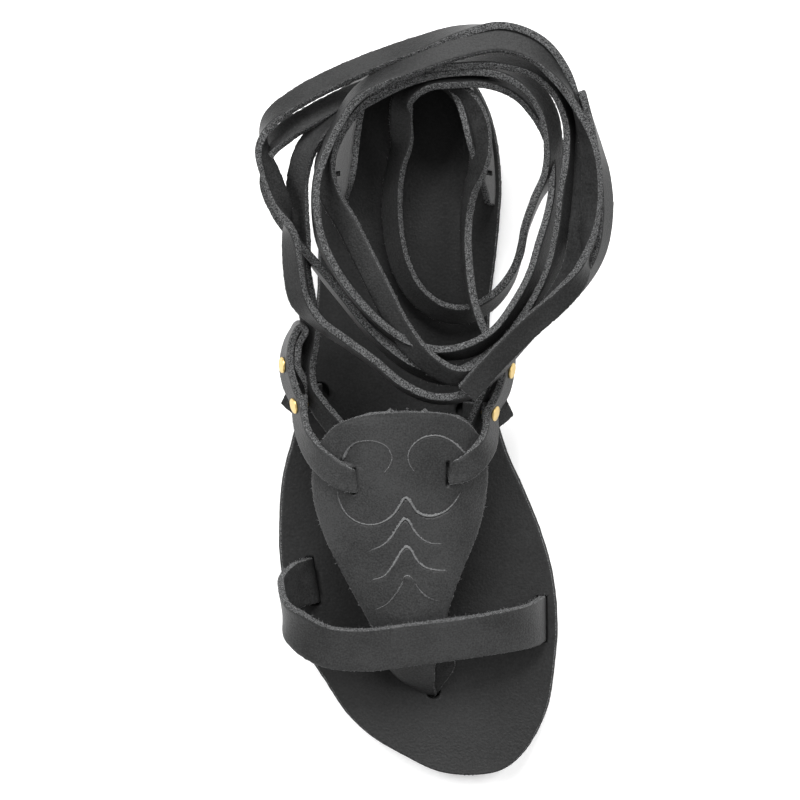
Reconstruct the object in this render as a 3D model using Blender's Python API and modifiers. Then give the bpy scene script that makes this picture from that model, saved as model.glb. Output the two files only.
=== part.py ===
"""A right-foot lace-up leather sandal, standing empty on its sole, with its two ties in a loose coil over the heel.

The toe points to -Y and the heel to +Y, the big toe is on the +X side, and the floor is Z = 0. The origin is
under the middle of the sole. The leather upper (instep piece with its thong, toe strap, side straps and stays) is
one solid. Tables give places as shares: across of BALL_WIDTH, along of LENGTH, up of INSTEP_HEIGHT over the bed.
"""

import math

import bmesh
import bpy
import numpy as np
from mathutils import Matrix, Vector

# Driving sizes, in metres
LENGTH = 0.259
BALL_WIDTH = 0.100
HEEL_WIDTH = 0.0654
OUTSOLE_THICKNESS = 0.0045
INSOLE_THICKNESS = 0.0035
HEEL_LIFT = 0.006
TOE_SPRING = 0.004
INSOLE_INSET = 0.0007
INSTEP_HEIGHT = 0.040
INSTEP_ARCH = 0.012
VAMP_WIDTH = 0.0601
VAMP_THICKNESS = 0.0026
TOE_STRAP_WIDTH = 0.016
TOE_STRAP_THICKNESS = 0.0026
SIDE_STRAP_WIDTH = 0.0095
SIDE_STRAP_THICKNESS = 0.0022
STAY_WIDTH = 0.0058
STAY_THICKNESS = 0.0022
STAY_HOLE_RADIUS = 0.0036
COUNTER_HEIGHT = 0.029
COUNTER_THICKNESS = 0.0025
COUNTER_LEAN = 0.008
COUNTER_SET_IN = 0.0035
COUNTER_SLIT_HEIGHT = 0.0085
COUNTER_SLIT_WIDTH = 0.0035
RIVET_RADIUS = 0.0028
RIVET_HEAD = 0.0009
RIVET_SHANK_RADIUS = 0.0012
RIVET_BACK_RADIUS = 0.0020
RIVET_BACK_ROOM = 0.0007
THONG_ROOM = 0.0009
TIE_WIDTH = 0.0078
TIE_THICKNESS = 0.0025
COIL_HEIGHT = 0.016

# Fits
CLEARANCE = 0.0003
STRAP_BITE = 0.0005
SLOT_ROOM = 0.0004

# Shares of LENGTH along the foot, where the sole's height changes
HEEL_BREAST = 0.270
BREAST_RUN = 0.006
ARCH_START = -0.033
ARCH_END = 0.300
BALL_END = -0.330
HEEL_ROUNDNESS = 2.35

# Forefoot and waist outline, from the heel's medial side round the toe to its lateral side
# Columns: across, along
OUTLINE = (
    (0.297, 0.300),
    (0.281, 0.226),
    (0.259, 0.154),
    (0.254, 0.085),
    (0.268, 0.020),
    (0.316, -0.049),
    (0.379, -0.104),
    (0.440, -0.162),
    (0.483, -0.222),
    (0.500, -0.288),
    (0.491, -0.344),
    (0.469, -0.400),
    (0.433, -0.436),
    (0.374, -0.471),
    (0.306, -0.492),
    (0.220, -0.500),
    (0.076, -0.496),
    (-0.055, -0.473),
    (-0.173, -0.446),
    (-0.260, -0.414),
    (-0.333, -0.372),
    (-0.400, -0.330),
    (-0.466, -0.270),
    (-0.496, -0.203),
    (-0.500, -0.160),
    (-0.489, -0.091),
    (-0.455, -0.038),
    (-0.415, 0.020),
    (-0.388, 0.090),
    (-0.366, 0.149),
    (-0.357, 0.230),
    (-0.357, 0.300),
)

# The instep piece, from its round back edge to the tip of its thong; fold is the slope down from its middle line
# Columns: along, left, right, up, fold
VAMP_ROWS = (
    (0.0040, -0.150, 0.070, 1.000, 0.00),
    (0.0010, -0.175, 0.098, 0.995, 0.00),
    (-0.006, -0.222, 0.140, 0.982, 0.00),
    (-0.017, -0.290, 0.186, 0.958, 0.00),
    (-0.031, -0.328, 0.210, 0.930, 0.00),
    (-0.046, -0.350, 0.224, 0.900, 0.00),
    (-0.077, -0.366, 0.235, 0.838, 0.00),
    (-0.120, -0.360, 0.226, 0.755, 0.00),
    (-0.158, -0.332, 0.204, 0.688, 0.00),
    (-0.199, -0.285, 0.162, 0.626, 0.00),
    (-0.245, -0.222, 0.117, 0.574, 0.05),
    (-0.285, -0.165, 0.092, 0.520, 0.15),
    (-0.316, -0.130, 0.104, 0.468, 0.30),
    (-0.339, -0.103, 0.118, 0.385, 0.45),
    (-0.355, -0.062, 0.106, 0.268, 0.60),
    (-0.368, -0.006, 0.082, 0.160, 0.40),
    (-0.378, 0.028, 0.070, 0.020, 0.00),
    (-0.3810, 0.032, 0.068, -0.070, 0.00),
)

# Straps: their middle line, and the direction of their width
# Columns: across, along, up, lean_x, lean_y, lean_z
TOE_STRAP_ROWS = (
    (-0.378, -0.2315, -0.080, 0.16, -0.99, 0.00),
    (-0.380, -0.2315, 0.030, 0.16, -0.99, 0.00),
    (-0.434, -0.2370, 0.160, 0.12, -0.97, -0.20),
    (-0.473, -0.2540, 0.310, 0.10, -0.92, -0.37),
    (-0.447, -0.2850, 0.440, 0.15, -0.90, -0.40),
    (-0.340, -0.3140, 0.490, 0.08, -0.91, -0.40),
    (-0.200, -0.3210, 0.510, 0.00, -0.92, -0.38),
    (-0.020, -0.3130, 0.560, -0.02, -0.92, -0.38),
    (0.159, -0.3050, 0.455, -0.03, -0.92, -0.38),
    (0.304, -0.2970, 0.365, 0.00, -0.94, -0.33),
    (0.395, -0.2910, 0.210, 0.00, -0.98, -0.18),
    (0.440, -0.2840, 0.040, 0.00, -1.00, 0.00),
    (0.443, -0.2840, -0.080, 0.00, -1.00, 0.00),
)
SIDE_STRAP_LEFT = (
    (-0.205, -0.093, 0.750, 0.00, -0.93, -0.36),
    (-0.250, -0.087, 0.742, -0.20, -0.90, -0.36),
    (-0.312, -0.073, 0.690, -0.42, -0.82, -0.42),
    (-0.372, -0.050, 0.610, -0.50, -0.45, -0.74),
    (-0.409, -0.020, 0.560, -0.42, -0.12, -0.90),
    (-0.423, 0.0115, 0.550, -0.38, 0.00, -0.92),
    (-0.450, 0.038, 0.570, -0.42, 0.04, -0.89),
    (-0.463, 0.0655, 0.595, -0.35, 0.00, -0.94),
    (-0.453, 0.094, 0.620, -0.25, 0.00, -0.97),
    (-0.428, 0.115, 0.640, -0.18, 0.00, -0.98),
)
SIDE_STRAP_RIGHT = (
    (0.095, -0.080, 0.830, 0.00, -0.93, -0.36),
    (0.140, -0.076, 0.815, 0.20, -0.90, -0.36),
    (0.190, -0.065, 0.765, 0.42, -0.82, -0.42),
    (0.236, -0.044, 0.670, 0.50, -0.45, -0.74),
    (0.252, -0.020, 0.600, 0.42, -0.12, -0.90),
    (0.254, 0.001, 0.575, 0.38, 0.00, -0.92),
    (0.292, 0.029, 0.590, 0.42, 0.04, -0.89),
    (0.311, 0.0585, 0.610, 0.35, 0.00, -0.94),
    (0.316, 0.086, 0.630, 0.25, 0.00, -0.97),
    (0.298, 0.112, 0.645, 0.18, 0.00, -0.98),
)
# Row numbers of the side straps at the two rivets, counted from their slots
RIVET_ROWS = {"front": 5, "back": 7}
# How far the folded layer lies inside the outer one, at the turn and on the way back to its cut end
FOLD_GAPS = (0.0036, 0.0028)

# The folded layer's last stretch, to its cut end under the strap
SIDE_END_LEFT = ((-0.417, 0.037, 0.455, -0.55, 0.10, -0.80), (-0.448, 0.004, 0.290, -0.75, 0.25, -0.60))
SIDE_END_RIGHT = ((0.262, 0.028, 0.460, 0.55, 0.10, -0.80), (0.297, -0.012, 0.290, 0.75, 0.25, -0.60))

# Rows that lie on the instep piece, and the share of the full rise over it that each has
SIDE_SEATS = {0: 0.0, 1: 1.12, 2: 1.12}
TOE_SEATS = {7: 1.06}

# The stays, from their insole holes up to the front rivets: the hole's across and along, then bends with up
STAY_LEFT = ((-0.355, 0.029), (-0.375, 0.024, 0.17), (-0.406, 0.015, 0.33))
STAY_RIGHT = ((0.170, 0.004), (0.192, 0.003, 0.17), (0.232, 0.001, 0.34))

# The heel counter's height and inward lean, by share of its way from one front end to the other
# Columns: way, height, lean
COUNTER_ROWS = (
    (0.00, 0.62, 0.75),
    (0.06, 0.92, 0.95),
    (0.16, 1.06, 1.00),
    (0.30, 1.00, 0.85),
    (0.50, 0.96, 0.75),
    (0.70, 1.00, 0.85),
    (0.84, 1.06, 1.00),
    (0.94, 0.92, 0.95),
    (1.00, 0.62, 0.75),
)
COUNTER_FRONT = 0.285

# The coil of ties, seen from above: its outer and inner edges round a hand-placed middle
COIL_MIDDLE = (0.008, 0.262)
# Columns: clock, outer, inner
COIL_ROWS = (
    (0, 0.617, 0.40),
    (1, 0.735, 0.47),
    (2, 0.690, 0.46),
    (3, 0.660, 0.40),
    (4, 0.613, 0.41),
    (5, 0.582, 0.39),
    (6, 0.624, 0.36),
    (7, 0.517, 0.28),
    (8, 0.520, 0.24),
    (9, 0.500, 0.25),
    (10, 0.635, 0.34),
    (11, 0.590, 0.38),
)

# The ties' plain stretches, from under the instep piece up to the coil, with the straps' columns
TIE_LEAD_LEFT = (
    (-0.215, -0.080, 0.600, 0.00, -0.95, -0.30),
    (-0.270, -0.050, 0.590, 0.20, -0.80, -0.50),
    (-0.305, -0.020, 0.580, 0.20, -0.30, -0.90),
    (-0.338, 0.011, 0.560, -0.20, 0.00, -0.98),
    (-0.362, 0.036, 0.570, -0.25, 0.00, -0.97),
    (-0.366, 0.062, 0.595, -0.45, 0.00, -0.89),
    (-0.358, 0.085, 0.630, -0.75, 0.00, -0.60),
)
TIE_LEAD_RIGHT = (
    (0.100, -0.070, 0.620, 0.00, -0.95, -0.30),
    (0.145, -0.045, 0.585, -0.20, -0.80, -0.50),
    (0.172, -0.016, 0.555, -0.20, -0.30, -0.90),
    (0.184, 0.012, 0.560, 0.20, 0.00, -0.98),
    (0.207, 0.030, 0.580, 0.25, 0.00, -0.97),
    (0.230, 0.052, 0.600, 0.55, 0.00, -0.80),
)

BED = OUTSOLE_THICKNESS + INSOLE_THICKNESS
COLOUR_BLACK = (0.030, 0.030, 0.031, 1.0)
COLOUR_BRASS = (0.80, 0.62, 0.26, 1.0)


def smooth_rows(rows, count, places=3, closed=False):
    """Smooth curve through a table's rows, with the same number of samples in each span between two rows.

    Each row's slope weighs its two spans by the square root of their lengths in the first places columns, so that a
    short span beside a long one makes no loop. With no places, all spans weigh the same.
    """
    table = np.array(rows, float)
    if closed:
        table = np.vstack([table[-1:], table, table[:2]])
    gap = np.sqrt(np.linalg.norm(np.diff(table[:, :places], axis=0), axis=1)) if places else np.ones(len(table) - 1)
    step = np.diff(table, axis=0) / gap[:, None]
    before, after = gap[:-1, None], gap[1:, None]
    inner = (step[:-1] * after + step[1:] * before) / (before + after)
    slope = np.vstack([step[:1], inner, step[-1:]])
    first, last = (1, len(table) - 2) if closed else (0, len(table) - 1)
    place = np.linspace(first, last, count + 1)[:-1] if closed else np.linspace(first, last, count)
    span = np.minimum(place.astype(int), last - 1)
    t = (place - span)[:, None]
    start = table[span] * (1 + 2 * t) * (1 - t) ** 2 + slope[span] * gap[span][:, None] * t * (1 - t) ** 2
    end = table[span + 1] * t**2 * (3 - 2 * t) - slope[span + 1] * gap[span][:, None] * t**2 * (1 - t)
    return start + end


def ease(x):
    """Rises smoothly from 0 to 1 as x goes from 0 to 1."""
    x = np.clip(x, 0.0, 1.0)
    return x * x * (3 - 2 * x)


def bed_height(y):
    """Height of the outsole's upper face: level under the ball, up to the heel, and turned up at the toe."""
    along = np.asarray(y) / LENGTH
    heel = HEEL_LIFT * ease((along - ARCH_START) / (ARCH_END - ARCH_START))
    toe = TOE_SPRING * np.clip((BALL_END - along) / (BALL_END + 0.5), 0, None) ** 2
    return OUTSOLE_THICKNESS + heel + toe


def ground_height(y):
    """Height of the outsole's underside: on the floor under heel and ball, a constant sole under the arch."""
    along = np.asarray(y) / LENGTH
    free = bed_height(y) - OUTSOLE_THICKNESS
    heel_share = ease((along - HEEL_BREAST) / BREAST_RUN)
    return free * (1 - heel_share)


def place(across, along, up):
    """Point in metres for shares of ball width, length and instep height over the bed."""
    return Vector((across * BALL_WIDTH, along * LENGTH, BED + up * INSTEP_HEIGHT))


def sole_outline(inset=0.0):
    """Plan of the sole: the table's smooth curve, closed by a half ellipse round the heel, moved in by inset."""
    side = smooth_rows(OUTLINE, 94, places=2)
    heel_middle = (OUTLINE[0][0] + OUTLINE[-1][0]) / 2
    heel_ratio = HEEL_WIDTH / ((OUTLINE[0][0] - OUTLINE[-1][0]) * BALL_WIDTH)
    narrowing = 1 + (heel_ratio - 1) * ease((side[:, 1] - ARCH_START) / (HEEL_BREAST - ARCH_START))
    across = heel_middle + (side[:, 0] - heel_middle) * narrowing
    side = np.column_stack([across * BALL_WIDTH, side[:, 1] * LENGTH])
    start, end = side[-1], side[0]
    middle, half = (start + end) / 2, (end - start)[0] / 2
    reach = LENGTH / 2 - middle[1]
    turn = np.linspace(math.pi, 0, 26)[1:-1]
    power = 2 / HEEL_ROUNDNESS
    heel = np.column_stack([
        middle[0] + half * np.sign(np.cos(turn)) * np.abs(np.cos(turn)) ** power,
        middle[1] + reach * np.sin(turn) ** power,
    ])
    outline = np.vstack([side, heel])
    ahead, behind = np.roll(outline, -1, 0), np.roll(outline, 1, 0)
    run = ahead - behind
    run /= np.linalg.norm(run, axis=1)[:, None]
    return outline + inset * np.column_stack([-run[:, 1], run[:, 0]]) * outline_sense(outline)


def outline_sense(outline):
    """1 where the outline runs anticlockwise seen from above, so that its left is inside, else -1."""
    x, y = outline.T
    return math.copysign(1.0, float(np.sum(x * np.roll(y, -1) - np.roll(x, -1) * y)))


def collection(name):
    made = bpy.data.collections.new(name)
    bpy.context.scene.collection.children.link(made)
    return made


def leather(name, colour, roughness, metallic=0.0):
    material = bpy.data.materials.new(name)
    material.use_nodes = True
    shader = material.node_tree.nodes["Principled BSDF"]
    shader.inputs["Base Color"].default_value = colour
    shader.inputs["Roughness"].default_value = roughness
    shader.inputs["Metallic"].default_value = metallic
    return material


def add_object(name, mesh, group, material=None):
    made = bpy.data.objects.new(name, mesh)
    group.objects.link(made)
    if material:
        mesh.materials.append(material)
    return made


def hide_cutter(made):
    made.hide_render = True
    made.display_type = "WIRE"
    return made


def mesh_from(bm, name):
    bmesh.ops.recalc_face_normals(bm, faces=bm.faces)
    mesh = bpy.data.meshes.new(name)
    bm.to_mesh(mesh)
    bm.free()
    return mesh


def boolean(made, operation, tool):
    change = made.modifiers.new(f"{operation.lower()} {tool.name}", "BOOLEAN")
    change.operation = operation
    change.object = tool
    change.solver = "EXACT"


def surface(name, points):
    """Open mesh of quads through a grid of points, rows by columns."""
    rows, columns = points.shape[:2]
    corner = np.arange((rows - 1) * columns).reshape(rows - 1, columns)[:, :-1].ravel()
    faces = np.column_stack([corner, corner + 1, corner + columns + 1, corner + columns])
    mesh = bpy.data.meshes.new(name)
    mesh.from_pydata(points.reshape(-1, 3).tolist(), [], faces.tolist())
    mesh.update()
    return mesh


def thicken(made, thickness, offset=0.0):
    wall = made.modifiers.new("wall", "SOLIDIFY")
    wall.thickness = thickness
    wall.offset = offset
    wall.use_even_offset = True
    wall.use_quality_normals = True
    return made


def strap_frame(rows, count):
    """Centre line, width direction and face normal of a strap whose table rows are in shares."""
    smooth = smooth_rows(rows, count)
    centre = smooth[:, :3] * (BALL_WIDTH, LENGTH, INSTEP_HEIGHT) + (0, 0, BED)
    return centre, *strap_axes(centre, smooth[:, 3:])


def strap_axes(centre, lean):
    """Width direction square to the strap's run, and the face normal square to both."""
    run = np.gradient(centre, axis=0)
    run /= np.linalg.norm(run, axis=1)[:, None]
    lean = lean - run * np.sum(lean * run, axis=1)[:, None]
    lean /= np.linalg.norm(lean, axis=1)[:, None]
    return lean, np.cross(run, lean)


def strap(name, centre, lean, width, thickness, group, material=None):
    """Flat strap: an open ribbon square to its face normal, given its wall by Solidify."""
    half = width / 2
    grid = np.stack([centre - lean * half, centre, centre + lean * half], axis=1)
    made = add_object(name, surface(name, grid), group, material)
    return thicken(made, thickness)


def plate(name, outline, top, bottom, cuts, group, material):
    """Flat outline extruded to a plate, divided across the foot and set between two height functions of y."""
    bm = bmesh.new()
    face = bm.faces.new([bm.verts.new((x, y, 0.0)) for x, y in outline])
    lifted = bmesh.ops.extrude_face_region(bm, geom=[face])
    for item in lifted["geom"]:
        if isinstance(item, bmesh.types.BMVert):
            item.co.z = 1.0
    for y in cuts:
        geometry = bm.verts[:] + bm.edges[:] + bm.faces[:]
        bmesh.ops.bisect_plane(bm, geom=geometry, dist=1e-7, plane_co=(0, y, 0), plane_no=(0, 1, 0))
    for vert in bm.verts:
        height = top if vert.co.z > 0.5 else bottom
        vert.co.z = float(height(vert.co.y))
    return add_object(name, mesh_from(bm, name), group, material)


def division_lines():
    """Places along the foot where a plate is divided: close together at the heel breast, wider elsewhere."""
    coarse = [LENGTH * share for share in np.linspace(-0.48, 0.46, 25)]
    breast = [LENGTH * (HEEL_BREAST + BREAST_RUN * share) for share in (0.0, 0.5, 1.0)]
    clear = [y for y in coarse if min(abs(y - b) for b in breast) > 0.002]
    return sorted(clear + breast)


def slot_cutter(name, rows, width, thickness, group):
    """Upright box round the end of a strap where it passes through the insole."""
    centre, lean, _ = strap_frame(rows, 24)
    turn = math.atan2(lean[0][1], lean[0][0])
    bm = bmesh.new()
    bmesh.ops.create_cube(bm, size=1.0)
    size = Matrix.Diagonal((width + 2 * SLOT_ROOM, thickness + 2 * SLOT_ROOM, 3 * INSOLE_THICKNESS, 1.0))
    spot = Matrix.Translation((centre[0][0], centre[0][1], OUTSOLE_THICKNESS + INSOLE_THICKNESS / 2))
    bmesh.ops.transform(bm, matrix=spot @ Matrix.Rotation(turn, 4, "Z") @ size, verts=bm.verts)
    return hide_cutter(add_object(name, mesh_from(bm, name), group))


def cylinder_cutter(name, radius, depth, matrix, group):
    bm = bmesh.new()
    bmesh.ops.create_cone(bm, cap_ends=True, segments=20, radius1=radius, radius2=radius, depth=depth)
    bmesh.ops.transform(bm, matrix=matrix, verts=bm.verts)
    return hide_cutter(add_object(name, mesh_from(bm, name), group))


def seat_on_outsole(rows):
    """A strap's rows with its buried end moved to stop one clearance over the outsole."""
    end_up = (OUTSOLE_THICKNESS + CLEARANCE - BED) / INSTEP_HEIGHT
    return [(*row[:2], end_up, *row[3:]) if row[2] < -0.05 else row for row in rows]


def instep_height(x, y, rows):
    """Middle surface of the instep piece at x, y: its spine's height less the arch across the foot."""
    order = np.argsort(rows[:, 0])
    along = y / LENGTH
    spine = np.interp(along, rows[order, 0], rows[order, 3])
    middle = np.interp(along, rows[order, 0], (rows[order, 1] + rows[order, 2]) / 2)
    return BED + spine * INSTEP_HEIGHT - INSTEP_ARCH * ((x - middle * BALL_WIDTH) / (VAMP_WIDTH / 2)) ** 2


def make_vamp(group, material):
    """Instep piece: rows from the round back edge to the thong, arched over the foot and folded at the thong."""
    rows = smooth_rows(VAMP_ROWS, 43, places=1)
    along, left, right, up, fold = (column[:, None] for column in rows.T)
    share = np.linspace(0.0, 1.0, 11)[None, :]
    widest = max(row[2] - row[1] for row in VAMP_ROWS)
    off = (share - 0.5) * (right - left) / widest * VAMP_WIDTH
    x = (left + right) / 2 * BALL_WIDTH + off
    y = along * LENGTH + 0 * share
    z = BED + up * INSTEP_HEIGHT - INSTEP_ARCH * (off / (VAMP_WIDTH / 2)) ** 2 - fold * np.abs(off)
    made = add_object("upper", surface("upper", np.stack([x, y, z], axis=2)), group, material)
    return thicken(made, VAMP_THICKNESS)


def on_instep(rows, thickness, seats):
    """Strap rows, with those in seats laid on the instep piece: seats gives a row's share of the full rise."""
    table = np.array(VAMP_ROWS)
    laid = list(rows)
    for number, share in seats.items():
        x, y = rows[number][0] * BALL_WIDTH, rows[number][1] * LENGTH
        rise = ((VAMP_THICKNESS + thickness) / 2 - STRAP_BITE) * share
        height = float(instep_height(x, y, table)) + rise
        laid[number] = (*rows[number][:2], (height - BED) / INSTEP_HEIGHT, *rows[number][3:])
    return laid


def side_strap(name, rows, ends, inward, group):
    """Side strap from its slot to the back, folded at the loop and led back inside to its cut end."""
    rows = on_instep(rows, SIDE_STRAP_THICKNESS, SIDE_SEATS)
    step = 5
    centre, lean, normal = strap_frame(rows, step * (len(rows) - 1) + 1)
    toward = np.array([inward * BALL_WIDTH * 0.01, 0, 0])
    facing = normal * np.sign(normal @ toward)[:, None]
    turn_gap, back_gap = FOLD_GAPS
    last = centre[-1]
    run = centre[-1] - centre[-2]
    run /= np.linalg.norm(run)
    turn = [last + run * turn_gap * 0.5 * math.sin(a) + facing[-1] * turn_gap * 0.5 * (1 - math.cos(a))
            for a in np.linspace(0, math.pi, 7)[1:]]
    back = [centre[step * k] + facing[step * k] * back_gap for k in (8, 7)]
    end = [np.array(place(*row[:3])) for row in ends]
    folded = np.array([*turn[-1:], *back, *end])
    folded_lean = np.array([lean[-1], lean[step * 8], lean[step * 7], *(row[3:] for row in ends)])
    way_back = smooth_rows(np.hstack([folded, folded_lean]), 22)
    points = np.vstack([centre, turn[:-1], way_back[:, :3]])
    leans = np.vstack([lean, np.repeat(lean[-1:], len(turn) - 1, 0), way_back[:, 3:]])
    leans, _ = strap_axes(points, leans)
    made = strap(name, points, leans, SIDE_STRAP_WIDTH, SIDE_STRAP_THICKNESS, group)
    spots = {key: (centre[step * k], facing[step * k], lean[step * k]) for key, k in RIVET_ROWS.items()}
    return hide_cutter(made), spots


def stay(name, rows, rivet_spot, group):
    """Narrow strap from an insole hole up to the inner face of the side strap at its front rivet."""
    point, inward, down = rivet_spot
    top = point + inward * ((SIDE_STRAP_THICKNESS + STAY_THICKNESS) / 2 - STRAP_BITE)
    (across, along), *middle = rows
    floor = float(bed_height(along * LENGTH + STAY_WIDTH)) + CLEARANCE
    foot = [(across * BALL_WIDTH, along * LENGTH, z) for z in (floor, floor + 1.4 * INSOLE_THICKNESS)]
    bends = [tuple(place(*row)) for row in middle]
    ends = [tuple(top + down * RIVET_RADIUS * side) for side in (1, 0, -1)]
    line = smooth_rows([*foot, *bends, *ends], 29)
    lean, _ = strap_axes(line, np.tile([0.0, 1.0, 0.0], (len(line), 1)))
    return hide_cutter(strap(name, line, lean, STAY_WIDTH, STAY_THICKNESS, group))


def facing_matrix(point, direction):
    turn = Vector(direction).to_track_quat("Z", "Y").to_matrix().to_4x4()
    return Matrix.Translation(Vector(point)) @ turn


def make_rivet(name, spot, layers, group, material):
    """Flat rivet: turned profile of head, shank and inner cap round the face normal, +Z pointing inward."""
    point, inward, _ = spot
    outer = -SIDE_STRAP_THICKNESS / 2
    inner = rivet_back(layers)
    back_radius = RIVET_BACK_RADIUS
    edge = RIVET_HEAD * 0.35
    profile = (
        (0.0, outer - RIVET_HEAD), (RIVET_RADIUS * 0.82, outer - RIVET_HEAD), (RIVET_RADIUS, outer - edge),
        (RIVET_RADIUS, outer), (RIVET_SHANK_RADIUS, outer), (RIVET_SHANK_RADIUS, inner),
        (back_radius, inner), (back_radius, inner + edge), (back_radius * 0.8, inner + RIVET_HEAD),
        (0.0, inner + RIVET_HEAD),
    )
    bm = bmesh.new()
    points = [bm.verts.new((x, 0.0, z)) for x, z in profile]
    edges = [bm.edges.new(pair) for pair in zip(points, points[1:])]
    bmesh.ops.spin(bm, geom=points + edges, cent=(0, 0, 0), axis=(0, 0, 1), angle=2 * math.pi, steps=14,
                   use_duplicate=False)
    bmesh.ops.remove_doubles(bm, verts=bm.verts, dist=1e-6)
    made = add_object(name, mesh_from(bm, name), group, material)
    made.matrix_world = facing_matrix(point, inward)
    return made


def rivet_back(layers):
    """Place of a rivet's inner cap along its shank, over the layers that it holds."""
    return layers - SIDE_STRAP_THICKNESS / 2 + RIVET_BACK_ROOM


def cut_rivet_room(upper, name, spot, layers, group):
    """Bores the upper for a rivet's shank, and wider where its head presses in and over its inner cap."""
    facing = facing_matrix(*spot[:2])
    bore = cylinder_cutter(f"{name}_bore", RIVET_SHANK_RADIUS + CLEARANCE, 6 * layers, facing, group)
    boolean(upper, "DIFFERENCE", bore)
    depth = SIDE_STRAP_WIDTH
    head_floor = CLEARANCE - SIDE_STRAP_THICKNESS / 2
    cap_floor = rivet_back(layers) - CLEARANCE
    for end, radius, middle in (("head", RIVET_RADIUS, head_floor - depth / 2),
                                ("cap", RIVET_BACK_RADIUS, cap_floor + depth / 2)):
        over = facing @ Matrix.Translation((0, 0, middle))
        recess = cylinder_cutter(f"{name}_{end}_room", radius + CLEARANCE, depth, over, group)
        boolean(upper, "DIFFERENCE", recess)


def counter_line():
    """Plan of the heel counter's foot, from its left front end round the heel to its right one, and its inward sense."""
    outline = sole_outline(COUNTER_SET_IN)
    back = outline[outline[:, 1] > COUNTER_FRONT * LENGTH]
    start = int(np.argmin(back[:, 1] + 10 * (back[:, 0] > 0)))
    line = np.roll(back, -start, 0)
    if line[1][1] < line[0][1]:
        line = line[::-1]
    run = np.gradient(line, axis=0)
    run /= np.linalg.norm(run, axis=1)[:, None]
    middle = line.mean(0)
    inward = np.column_stack([-run[:, 1], run[:, 0]])
    inward *= np.sign(np.sum(inward * (middle - line), axis=1))[:, None]
    return line, inward


def make_counter(group, cutters, material):
    """Heel counter: a band standing on the insole's edge, leaning in at the top, with a slit in each front end."""
    line, inward = counter_line()
    way = np.concatenate([[0], np.cumsum(np.linalg.norm(np.diff(line, axis=0), axis=1))])
    way /= way[-1]
    even = np.linspace(0, 1, 41)
    x, y, nx, ny = (np.interp(even, way, column) for column in (*line.T, *inward.T))
    table = smooth_rows(COUNTER_ROWS, 121, places=1)
    height = np.interp(even, table[:, 0], table[:, 1]) * COUNTER_HEIGHT
    lean = np.interp(even, table[:, 0], table[:, 2]) * COUNTER_LEAN
    up = np.linspace(0.0, 1.0, 6)[None, :]
    foot = bed_height(y) + INSOLE_THICKNESS + CLEARANCE
    slope = lean[:, None] * up**1.4
    grid = np.stack([x[:, None] + nx[:, None] * slope, y[:, None] + ny[:, None] * slope,
                     foot[:, None] + height[:, None] * up], axis=2)
    made = thicken(add_object("heel_counter", surface("heel_counter", grid), group, material),
                   COUNTER_THICKNESS)
    for side, number in (("left", 3), ("right", -4)):
        spot = grid[number, 3]
        across = Vector((nx[number], ny[number], -0.35)).normalized()
        box = facing_matrix(spot, across)
        bm = bmesh.new()
        bmesh.ops.create_cube(bm, size=1.0)
        size = Matrix.Diagonal((COUNTER_SLIT_WIDTH, COUNTER_SLIT_HEIGHT, 4 * COUNTER_THICKNESS, 1.0))
        bmesh.ops.transform(bm, matrix=box @ size, verts=bm.verts)
        cutter = hide_cutter(add_object(f"counter_slit_{side}", mesh_from(bm, side), cutters))
        boolean(made, "DIFFERENCE", cutter)
    top = grid[int(np.argmax(grid[:, -1, 2])), -1]
    return float(top[1]), float(top[2])


def make_coil(rest_back, rest_front, group, material):
    """Outer shape of the coiled ties: a flat ring of the table's two edges, tilted to rest on counter and loops.

    The two rests are the (y, z) of the counter's highest point and of the side straps' loops.
    """
    across, along = COIL_MIDDLE
    shape = bpy.data.curves.new("tie_coil", "CURVE")
    shape.dimensions = "2D"
    shape.fill_mode = "BOTH"
    shape.extrude = COIL_HEIGHT / 2 - 0.001
    shape.bevel_depth = 0.001
    shape.bevel_resolution = 0
    shape.offset = -0.001
    for column in (1, 2):
        table = smooth_rows([(row[column],) for row in COIL_ROWS], 48, places=0, closed=True)[:, 0] * BALL_WIDTH
        angle = math.pi / 2 - np.linspace(0, 2 * math.pi, 49)[:-1]
        spline = shape.splines.new("POLY")
        spline.points.add(47)
        flat = np.column_stack([table * np.cos(angle), table * np.sin(angle), 0 * table, 1 + 0 * table])
        spline.points.foreach_set("co", flat.ravel())
        spline.use_cyclic_u = True
    source = bpy.data.objects.new("tie_coil_outline", shape)
    group.objects.link(source)
    evaluated = source.evaluated_get(bpy.context.evaluated_depsgraph_get())
    mesh = bpy.data.meshes.new_from_object(evaluated)
    bpy.data.objects.remove(source)
    bm = bmesh.new()
    bm.from_mesh(mesh)
    bmesh.ops.remove_doubles(bm, verts=bm.verts, dist=1e-6)
    mesh.clear_geometry()
    made = add_object("tie_coil", mesh_from(bm, "tie_coil"), group, material)
    slope = (rest_back[1] - rest_front[1]) / (rest_back[0] - rest_front[0])
    tilt = math.atan(slope)
    under = rest_front[1] + slope * (along * LENGTH - rest_front[0]) + CLEARANCE
    middle_z = under + COIL_HEIGHT / 2 / math.cos(tilt) + COUNTER_THICKNESS * abs(slope)
    made.matrix_world = (Matrix.Translation((across * BALL_WIDTH, along * LENGTH, middle_z))
                         @ Matrix.Rotation(tilt, 4, "X"))
    return made


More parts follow.
